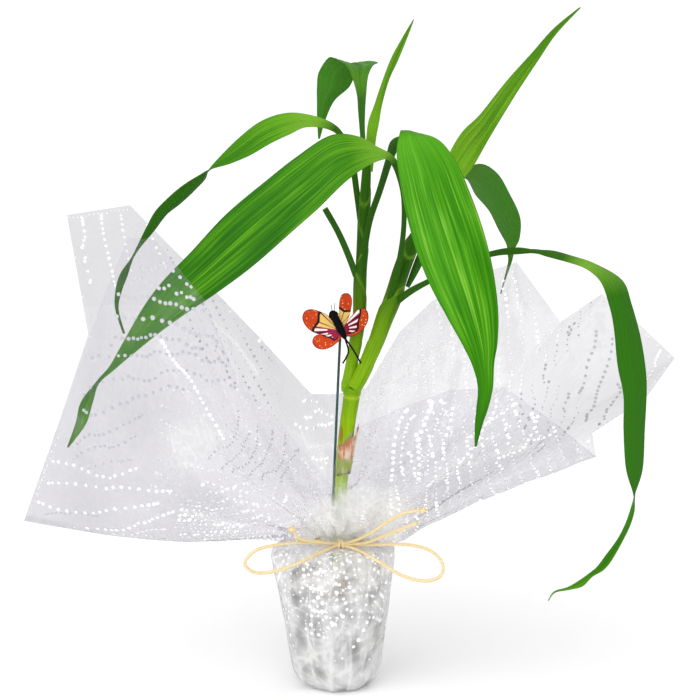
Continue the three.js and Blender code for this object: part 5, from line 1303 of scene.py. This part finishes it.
def makePebbleSpots():
    draw = random.Random(7)
    look = pebbleLook
    spots, sizes, tones, turns = [], [], [], []

    def lay(x, y, z, size):
        spots.append((x, y, z))
        sizes.append([size * draw.uniform(least, most) for least, most in look["stretches"]])
        tones.append(draw.random())
        turns.append([draw.uniform(0, 6.28) for axis in range(3)])

    height = look["floor"] + look["smallest"]
    layer = 0
    while height < look["top"]:
        for ring in (0, 1, 2):
            size = look["smallest"] + look["spread"] * 0.4
            wall = cupInnerRadius(height - 2) - look["wallGap"]
            out = wall - size - ring * look["ringStep"]
            if out < 3:
                continue
            count = max(3, int(2 * math.pi * out / (2 * size * 0.98)))
            for i in range(count):
                angle = 2 * math.pi * (i + 0.5 * (layer % 2) + draw.uniform(-0.12, 0.12)) / count
                one = look["smallest"] + look["spread"] * draw.random()
                reach = wall - one * 1.12 - ring * look["ringStep"]
                lay(reach * math.cos(angle), reach * math.sin(angle), height + draw.uniform(-0.8, 0.8), one)
        height += look["layer"]
        layer += 1
    for i in range(look["heap"]):
        angle, out = 2.4 * i, 3.6 * math.sqrt(i) + 1.5
        height = look["heapFoot"] + look["heapRise"] * (1 - out / 16) + draw.uniform(-0.5, 0.5)
        lay(out * math.cos(angle), out * math.sin(angle), height, look["heapSize"])
    return np.array(spots), np.array(sizes), np.array(tones), np.array(turns)


# Washed river pebbles, wet-looking: mottled stone in greys, white and a little brown
def pebbleSurface(tree):
    look = pebbleLook
    place = addNode(tree, "ShaderNodeTexCoord").outputs["Object"]
    tone = addNode(tree, "ShaderNodeAttribute", attribute_name="tone").outputs["Fac"]
    kind = addNode(tree, "ShaderNodeValToRGB", {"Fac": tone}, stops=[
        (0.0, look["grey"]), (0.25, look["white"]), (0.5, look["grey"]), (0.64, look["dark"]),
        (0.78, look["tan"]), (0.88, look["brown"])])
    kind.color_ramp.interpolation = "CONSTANT"
    mottle = addNode(tree, "ShaderNodeTexNoise", {
        "Vector": place, "Scale": 900.0, "Detail": 5.0, "Roughness": 0.65})
    shade = addNode(tree, "ShaderNodeMapRange", {
        "Value": mottle.outputs["Fac"], "From Min": 0.3, "From Max": 0.7, "To Min": 0.78, "To Max": 1.12})
    colour = addNode(tree, "ShaderNodeVectorMath", {
        0: kind.outputs["Color"], "Scale": shade}, operation="SCALE")
    relief = addNode(tree, "ShaderNodeBump", {
        "Strength": 0.25, "Distance": 0.0003, "Height": mottle.outputs["Fac"]})
    return addNode(tree, "ShaderNodeBsdfPrincipled", {
        "Base Color": colour.outputs[0], "Roughness": 0.38, "Normal": relief})


pebbleTree = newGrowTree("scatteredPebbles", {
    "Geometry": "Geometry", "Subdivisions": "Int", "Lumpiness": "Float", "Stone": "Material"})
pebbleIn = addNode(pebbleTree, "NodeGroupInput")
pebbleSize, pebbleTurn = [
    addNode(pebbleTree, "GeometryNodeInputNamedAttribute", {"Name": name}, data_type="FLOAT_VECTOR")
    for name in ("size", "turn")]
pebbleRotation = addNode(pebbleTree, "FunctionNodeEulerToRotation", {"Euler": pebbleTurn})
pebbleBall = addNode(pebbleTree, "GeometryNodeMeshIcoSphere", {
    "Radius": 1.0, "Subdivisions": pebbleIn.outputs["Subdivisions"]})
pebbleCopies = addNode(pebbleTree, "GeometryNodeInstanceOnPoints", {
    "Points": pebbleIn.outputs["Geometry"], "Instance": pebbleBall,
    "Rotation": pebbleRotation, "Scale": pebbleSize})
pebbleReal = addNode(pebbleTree, "GeometryNodeRealizeInstances", {"Geometry": pebbleCopies})
pebblePlace = addNode(pebbleTree, "GeometryNodeInputPosition")
pebbleNoise = addNode(pebbleTree, "ShaderNodeTexNoise", {
    "Vector": pebblePlace, "Scale": 260.0, "Detail": 1.0})
pebbleBump = addNode(pebbleTree, "ShaderNodeMath", {
    0: pebbleNoise.outputs["Fac"], 1: 0.5}, operation="SUBTRACT")
pebbleAmount = addNode(pebbleTree, "ShaderNodeMath", {
    0: pebbleBump, 1: pebbleIn.outputs["Lumpiness"]}, operation="MULTIPLY")
pebbleNormal = addNode(pebbleTree, "GeometryNodeInputNormal")
pebbleOffset = addNode(pebbleTree, "ShaderNodeVectorMath", {
    0: pebbleNormal, "Scale": pebbleAmount}, operation="SCALE")
pebbleLumpy = addNode(pebbleTree, "GeometryNodeSetPosition", {
    "Geometry": pebbleReal, "Offset": pebbleOffset})
pebbleSmooth = addNode(pebbleTree, "GeometryNodeSetShadeSmooth", {"Geometry": pebbleLumpy})
pebbleDone = addNode(pebbleTree, "GeometryNodeSetMaterial", {
    "Geometry": pebbleSmooth, "Material": pebbleIn.outputs["Stone"]})
addNode(pebbleTree, "NodeGroupOutput", {"Geometry": pebbleDone})

pebbleSpots, pebbleSizes, pebbleTones, pebbleTurns = makePebbleSpots()
pebbles = growPiece(
    "pebbles", pebbleTree, pebbleSpots,
    {"size": pebbleSizes * mm, "turn": pebbleTurns, "tone": pebbleTones},
    {"Subdivisions": 3, "Lumpiness": pebbleLook["lumpiness"] * mm,
     "Stone": newMaterial("washedRiverPebble", pebbleSurface)})
finishPiece(pebbles, None, ["stones"])
print("pebbles:", len(pebbleSpots))


# Cord bow

cordLook = {
    "radius": 0.8, "sides": 14, "neck": 12.5, "height": 77.5, "knotDeep": 1.75, "knotTall": 2.0,
    "stopperLoop": 1.25, "stopperCord": 0.75, "twistLength": 3.5,
    "light": "#f5e8c6", "body": "#e5cf9c", "dark": "#c6a566",
}
knot = [1.5, -cordLook["neck"] - 1.7, cordLook["height"]]
bowLines = {
    "leftLoop": [
        knot, [-7, -19, 79], [-18.5, -25, 81], [-31, -30, 81], [-40, -32, 79], [-45.5, -33, 73.5],
        [-43, -33, 69], [-36.5, -32, 67.5], [-26, -31, 69.5], [-16.5, -28, 72.8], [-8, -22, 75.6], knot],
    "rightLoop": [
        knot, [13.5, -20, 78.5], [26, -26, 80.5], [38, -31, 81], [46.5, -34, 78.5], [51.5, -35, 72.5],
        [50, -35, 66.5], [42.5, -34, 64], [32, -32, 66], [21.5, -29, 71.5], [12, -22, 75.5], knot],
    "tailHigh": [knot, [9, -22, 81.5], [17, -31, 88], [25, -38, 95.5], [33, -44, 101], [41, -49, 103.5]],
    "tailLow": [knot, [13, -22, 80], [25, -33, 87.5], [38.5, -44, 96]],
    "tailLeft": [knot, [-10, -22, 80.5], [-19, -28, 84], [-22.5, -31, 89.5]],
}


# Waxed paper cord: smooth, straw-coloured, with a faint slanting twist
def cordSurface(tree):
    look = cordLook
    along, around = [
        addNode(tree, "ShaderNodeAttribute", attribute_name=name).outputs["Fac"]
        for name in ("along", "round")]
    turns = addNode(tree, "ShaderNodeMath", {
        0: along, 1: 1 / (look["twistLength"] * mm), 2: around}, operation="MULTIPLY_ADD")
    angle = addNode(tree, "ShaderNodeMath", {0: turns, 1: 4 * math.pi}, operation="MULTIPLY")
    twist = addNode(tree, "ShaderNodeMath", {0: angle}, operation="SINE")
    fibreAlong = addNode(tree, "ShaderNodeMath", {0: turns, 1: 9.0}, operation="MULTIPLY")
    fibrePlace = addNode(tree, "ShaderNodeCombineXYZ", {"X": fibreAlong, "Y": along})
    fibre = addNode(tree, "ShaderNodeTexNoise", {"Vector": fibrePlace, "Scale": 1.5, "Detail": 3.0})
    tone = addNode(tree, "ShaderNodeMath", {
        0: twist, 1: 0.04, 2: fibre.outputs["Fac"]}, operation="MULTIPLY_ADD")
    colour = addNode(tree, "ShaderNodeValToRGB", {"Fac": tone}, stops=[
        (0.25, look["dark"]), (0.5, look["body"]), (0.75, look["light"])])
    height = addNode(tree, "ShaderNodeMath", {
        0: twist, 1: 0.5, 2: fibre.outputs["Fac"]}, operation="MULTIPLY_ADD")
    relief = addNode(tree, "ShaderNodeBump", {"Strength": 0.2, "Distance": 0.0002, "Height": height})
    return addNode(tree, "ShaderNodeBsdfPrincipled", {
        "Base Color": colour.outputs["Color"], "Roughness": 0.36, "Normal": relief})


def cordPiece(name, points, steps, radius=None, closed=False):
    places = np.linspace(0, len(points) - (0 if closed else 1), steps + 1)
    line = rowsAt(np.array(points, float), places, closed)
    radius = radius or cordLook["radius"]
    return tubePiece(name, line, np.full(len(line), radius), cordLook["sides"])


def makeTie():
    look = cordLook
    turns = np.linspace(0, 2 * math.pi, 24, endpoint=False)
    ring = [[look["neck"] * math.cos(a), look["neck"] * math.sin(a), look["height"]] for a in turns]
    parts = [cordPiece("neckRing", ring, 120, closed=True)]
    for name, points in bowLines.items():
        parts.append(cordPiece(name, points, 12 * (len(points) - 1)))
    # two turns of cord over the crossing
    for i, (dx, lean) in enumerate(((-0.9, 0.35), (0.9, -0.3))):
        wrap = []
        for a in turns[::2]:
            deep, tall = look["knotDeep"] * math.cos(a), look["knotTall"] * math.sin(a)
            wrap.append([knot[0] + dx + lean * math.sin(a), knot[1] + deep, knot[2] + tall])
        parts.append(cordPiece(f"knotTurn{i}", wrap, 60, closed=True))
    # a small stopper knot at the end of two tails
    for i, name in enumerate(("tailHigh", "tailLeft")):
        end = np.array(bowLines[name][-1], float)
        for tilt in (0.0, 1.1):
            loop = []
            for a in turns[::3]:
                way = [math.cos(a) * math.cos(tilt), math.sin(a), math.cos(a) * math.sin(tilt)]
                loop.append(end + look["stopperLoop"] * np.array(way))
            parts.append(cordPiece(f"stopper{i}", loop, 40, look["stopperCord"], closed=True))
    return joinPieces("cordBow", parts)


finishPiece(makeTie(), newMaterial("waxedPaperCord", cordSurface), ["tie"])
print("cord bow ready")


# Butterfly pick

wingLook = {
    "plane": -15.4, "leanBack": 0.28, "bodyX": 1, "thick": 0.5, "rounds": 96, "rings": 30,
    "cupped": 0.5, "pleated": 0.12, "pleats": 14, "overlap": 0.15,
    "tipFrom": (0.62, 0.42, 0.55, 0.66), "tipTurn": (0.0, -0.35, 0.0, 0.42),
    "orange": "#d8470a", "amber": "#bc3209", "cream": "#efc26c", "magenta": "#b5164f", "dusk": "#3c0c2a",
    "black": "#1d0f10", "rim": "#6e1a12", "white": "#fdf3ea",
}
wingOutlines = [
    [[1.8, 186.4], [-3.4, 191.8], [-8, 194.4], [-13.2, 195.6], [-16.6, 194], [-17.4, 190.4],
     [-15, 186.2], [-10.4, 183.6], [-4.4, 183.4]],
    [[1, 185.6], [-5, 183.8], [-10.6, 182.8], [-12.6, 179.6], [-10.8, 176.6], [-7, 175.8],
     [-2.6, 177.6], [1.4, 181.6]],
    [[0, 187.2], [0.4, 193], [0.8, 199.8], [2.2, 203.4], [5.4, 203.6], [7, 200.4],
     [6.2, 194.4], [4.2, 189.2], [2.2, 185.6]],
    [[0.4, 186.6], [5.2, 190.8], [9, 195], [12.8, 196.2], [15, 193.4], [14.6, 189],
     [11.4, 184.6], [7, 182.4], [2.4, 183.2]],
]


def makeWing(index, outline):
    look = wingLook
    outline = np.array(outline, float)
    rim = rowsAt(outline, np.linspace(0, len(outline), look["rounds"], endpoint=False), True)
    root = outline[0] * 0.8 + outline[-1] * 0.2
    reach = np.linspace(0.02, 1, look["rings"])
    flat = root + (rim - root)[None] * reach[:, None, None]
    farthest = np.linalg.norm(rim - root, axis=1).max()
    fromRoot = np.linalg.norm(flat - root, axis=2) / farthest
    middleWay = rim.mean(0) - root
    ways = np.arctan2(flat[..., 1] - root[1], flat[..., 0] - root[0])
    ways = ways - math.atan2(middleWay[1], middleWay[0])
    ways = (ways + math.pi) % (2 * math.pi) - math.pi
    edge = (1 - reach)[:, None] * np.linalg.norm(rim - root, axis=1)[None]
    cup = look["cupped"] * np.sin(fromRoot * math.pi)
    cup = cup + look["pleated"] * np.cos(ways * look["pleats"]) * smoothStep(fromRoot, 0.1, 0.4)
    lean = look["plane"] + look["leanBack"] * np.abs(flat[..., 0] - look["bodyX"])
    lean = lean + look["overlap"] * (index % 2)
    front = np.stack([flat[..., 0], lean - look["thick"] / 2 - cup * 0.35, flat[..., 1]], -1)
    back = front + np.array([0, look["thick"], 0])
    area = np.cross(rim, np.roll(rim, -1, 0)).sum()
    if area < 0:  # the outline turns clockwise seen from the front, so it is turned round
        front, back = front[:, ::-1], back[:, ::-1]
        fromRoot, ways, edge = fromRoot[:, ::-1], ways[:, ::-1], edge[:, ::-1]
    # the hind part of the first wing and all of the second and last ones are striped
    striped = [ways > 0.22, ways > -9, ways > 9, ways > -9][index].astype(float)
    rows, columns = front.shape[:2]
    faces = slabFaces(rows, columns, True)
    points = np.concatenate([front.reshape(-1, 3), back.reshape(-1, 3)])
    values = {
        "fromRoot": np.tile(fromRoot.ravel(), 2), "way": np.tile(ways.ravel(), 2),
        "edge": np.tile(edge.ravel(), 2),
        "tipFrom": look["tipFrom"][index] + look["tipTurn"][index] * np.tile(ways.ravel(), 2),
        "striped": np.tile(striped.ravel(), 2),
    }
    return newPiece(f"wing{index}", points, faces, attributes=values)


# Printed card of the wings: a cream or a striped field by the body, orange tips with pale specks
def wingSurface(tree):
    look = wingLook
    reach, way, edge, tipFrom, striped = [
        addNode(tree, "ShaderNodeAttribute", attribute_name=name).outputs["Fac"]
        for name in ("fromRoot", "way", "edge", "tipFrom", "striped")]
    place = addNode(tree, "ShaderNodeTexCoord").outputs["Object"]
    waves = []
    for turns, kind in ((8.0, "SINE"), (21.0, "SINE"), (7.0, "COSINE")):
        turned = addNode(tree, "ShaderNodeMath", {0: way, 1: turns}, operation="MULTIPLY")
        waves.append(addNode(tree, "ShaderNodeMath", {0: turned}, operation=kind))
    veinWave, bars, scallops = waves
    # black veins between cream cells
    veinFar = addNode(tree, "ShaderNodeMath", {0: veinWave}, operation="ABSOLUTE")
    veins = addNode(tree, "ShaderNodeMath", {0: veinFar, 1: 0.2}, operation="LESS_THAN")
    cells = addNode(tree, "ShaderNodeMix", {0: veins, 6: look["cream"], 7: look["black"]}, data_type="RGBA")
    # magenta, white and dark stripes that fan out from the body
    whiteBars = addNode(tree, "ShaderNodeMath", {0: bars, 1: 0.35}, operation="GREATER_THAN")
    outside = addNode(tree, "ShaderNodeMath", {0: reach, 1: 0.3}, operation="GREATER_THAN")
    bandWhite = addNode(tree, "ShaderNodeMath", {0: whiteBars, 1: outside}, operation="MULTIPLY")
    bandDark = addNode(tree, "ShaderNodeMath", {0: bars, 1: -0.6}, operation="LESS_THAN")
    lightStripes = addNode(tree, "ShaderNodeMix", {
        0: bandWhite, 6: look["magenta"], 7: look["white"]}, data_type="RGBA")
    stripes = addNode(tree, "ShaderNodeMix", {
        0: bandDark, 6: lightStripes.outputs[2], 7: look["dusk"]}, data_type="RGBA")
    inner = addNode(tree, "ShaderNodeMix", {
        0: striped, 6: cells.outputs[2], 7: stripes.outputs[2]}, data_type="RGBA")
    # orange tips with pale specks
    specks = addNode(tree, "ShaderNodeTexVoronoi", {"Vector": place, "Scale": 620.0, "Randomness": 0.75})
    speck = addNode(tree, "ShaderNodeMath", {0: specks.outputs["Distance"], 1: 0.2}, operation="LESS_THAN")
    warm = addNode(tree, "ShaderNodeTexNoise", {"Vector": place, "Scale": 350.0, "Detail": 1.0})
    orange = addNode(tree, "ShaderNodeMix", {
        0: warm.outputs["Fac"], 6: look["orange"], 7: look["amber"]}, data_type="RGBA")
    tip = addNode(tree, "ShaderNodeMix", {
        0: speck, 6: orange.outputs[2], 7: look["cream"]}, data_type="RGBA")
    # the seam between the two runs in scallops, drawn in black
    bent = addNode(tree, "ShaderNodeMath", {0: scallops, 1: 0.05, 2: reach}, operation="MULTIPLY_ADD")
    past = addNode(tree, "ShaderNodeMath", {0: bent, 1: tipFrom}, operation="SUBTRACT")
    onTip = addNode(tree, "ShaderNodeMath", {0: past, 1: 0.0}, operation="GREATER_THAN")
    field = addNode(tree, "ShaderNodeMix", {
        0: onTip, 6: inner.outputs[2], 7: tip.outputs[2]}, data_type="RGBA")
    seamFar = addNode(tree, "ShaderNodeMath", {0: past}, operation="ABSOLUTE")
    seam = addNode(tree, "ShaderNodeMath", {0: seamFar, 1: 0.035}, operation="LESS_THAN")
    seamed = addNode(tree, "ShaderNodeMix", {
        0: seam, 6: field.outputs[2], 7: look["black"]}, data_type="RGBA")
    nearEdge = addNode(tree, "ShaderNodeMath", {0: edge, 1: 0.42}, operation="LESS_THAN")
    rimmed = addNode(tree, "ShaderNodeMix", {
        0: nearEdge, 6: seamed.outputs[2], 7: look["rim"]}, data_type="RGBA")
    grain = addNode(tree, "ShaderNodeTexNoise", {"Vector": place, "Scale": 1800.0, "Detail": 2.0})
    relief = addNode(tree, "ShaderNodeBump", {
        "Strength": 0.2, "Distance": 0.0002, "Height": grain.outputs["Fac"]})
    return addNode(tree, "ShaderNodeBsdfPrincipled", {
        "Base Color": rimmed.outputs[2], "Roughness": 0.5, "Normal": relief, "Specular IOR Level": 0.2})


wingParts = [makeWing(index, outline) for index, outline in enumerate(wingOutlines)]
finishPiece(joinPieces("butterflyWings", wingParts),
            newMaterial("printedWingCard", wingSurface), ["butterfly_wings"])

bodyLook = {
    "steps": 80, "sides": 24, "ridges": 0.06, "tailFeeler": 0.42, "headFeeler": 0.14,
    "dark": "#020202", "light": "#0d0d0e",
}
# points along the body with its radius, then points along the feelers at its tail and at its head
bodyRows = [
    [-3.2, -17.5, 195.6, 0.3], [-3.0, -17.5, 195.2, 1.3], [-2.2, -17.6, 193.7, 2.45],
    [-1.3, -17.7, 191.9, 2.0], [-0.2, -17.8, 189.9, 2.0], [0.8, -17.8, 187.9, 2.1],
    [1.7, -17.7, 185.9, 1.9], [2.6, -17.6, 184.1, 1.5], [3.4, -17.5, 182.6, 1.2], [3.9, -17.4, 181.6, 0.4],
]
feelerLines = [
    [[3.2, -17.4, 182.6], [5.2, -19, 176.5], [4.2, -20, 173], [2.4, -20, 170]],
    [[3.2, -17.4, 182.6], [7.6, -19, 176.5], [11.4, -20, 170]],
]
thinFeelers = [
    [[-1.8, -17.6, 193.4], [-2.9, -18, 196.4], [-3.2, -18.2, 198.8]],
    [[-1.6, -17.6, 193.6], [-1.5, -18, 196.8], [-1.4, -18.2, 199.6]],
]


# Moulded foam body, black and matt, with segments
def bodySurface(tree):
    place = addNode(tree, "ShaderNodeTexCoord").outputs["Object"]
    grain = addNode(tree, "ShaderNodeTexNoise", {"Vector": place, "Scale": 2200.0, "Detail": 3.0})
    tone = addNode(tree, "ShaderNodeValToRGB", {"Fac": grain.outputs["Fac"]}, stops=[
        (0.35, bodyLook["dark"]), (0.7, bodyLook["light"])])
    relief = addNode(tree, "ShaderNodeBump", {
        "Strength": 0.4, "Distance": 0.0002, "Height": grain.outputs["Fac"]})
    return addNode(tree, "ShaderNodeBsdfPrincipled", {
        "Base Color": tone.outputs["Color"], "Roughness": 0.7, "Normal": relief, "Specular IOR Level": 0.1})


def makeButterflyBody():
    look = bodyLook
    rows = rowsAt(np.array(bodyRows), np.linspace(0, len(bodyRows) - 1, look["steps"]))
    radii = np.maximum(rows[:, 3], 0.25) * (1 + look["ridges"] * np.sin(np.arange(look["steps"]) * 1.3))
    parts = [tubePiece("trunk", rows[:, :3], radii, look["sides"])]
    for i, line in enumerate(feelerLines):
        parts.append(cordPiece(f"tailFeeler{i}", line, 24, look["tailFeeler"]))
    for i, line in enumerate(thinFeelers):
        parts.append(cordPiece(f"headFeeler{i}", line, 16, look["headFeeler"]))
    return joinPieces("butterflyBody", parts)


butterflyBody = makeButterflyBody()
finishPiece(butterflyBody, newMaterial("blackFoamBody", bodySurface), ["butterfly_body"])

stickLook = {"radius": 0.65, "colour": "#12393b", "worn": "#2a5a58"}
stickRows = [[-6.4, -5.4, 9], [-3.3, -7.2, 77], [-1.2, -9.8, 129.5], [1.2, -13.7, 183.5]]


# Steel wire dipped in dark green plastic: smooth, half glossy
def wireSurface(tree):
    place = addNode(tree, "ShaderNodeTexCoord").outputs["Object"]
    drawn = addNode(tree, "ShaderNodeMapping", {"Vector": place, "Scale": (500.0, 500.0, 90.0)})
    smear = addNode(tree, "ShaderNodeTexNoise", {"Vector": drawn, "Scale": 1.0, "Detail": 2.0})
    tone = addNode(tree, "ShaderNodeValToRGB", {"Fac": smear.outputs["Fac"]}, stops=[
        (0.4, stickLook["colour"]), (0.75, stickLook["worn"])])
    relief = addNode(tree, "ShaderNodeBump", {
        "Strength": 0.2, "Distance": 0.0002, "Height": smear.outputs["Fac"]})
    return addNode(tree, "ShaderNodeBsdfPrincipled", {
        "Base Color": tone.outputs["Color"], "Roughness": 0.3, "Normal": relief})


stick = cordPiece("pickWire", stickRows, 60, stickLook["radius"])
finishPiece(stick, newMaterial("coatedPickWire", wireSurface), ["butterfly_stick"])
print("butterfly pick ready")
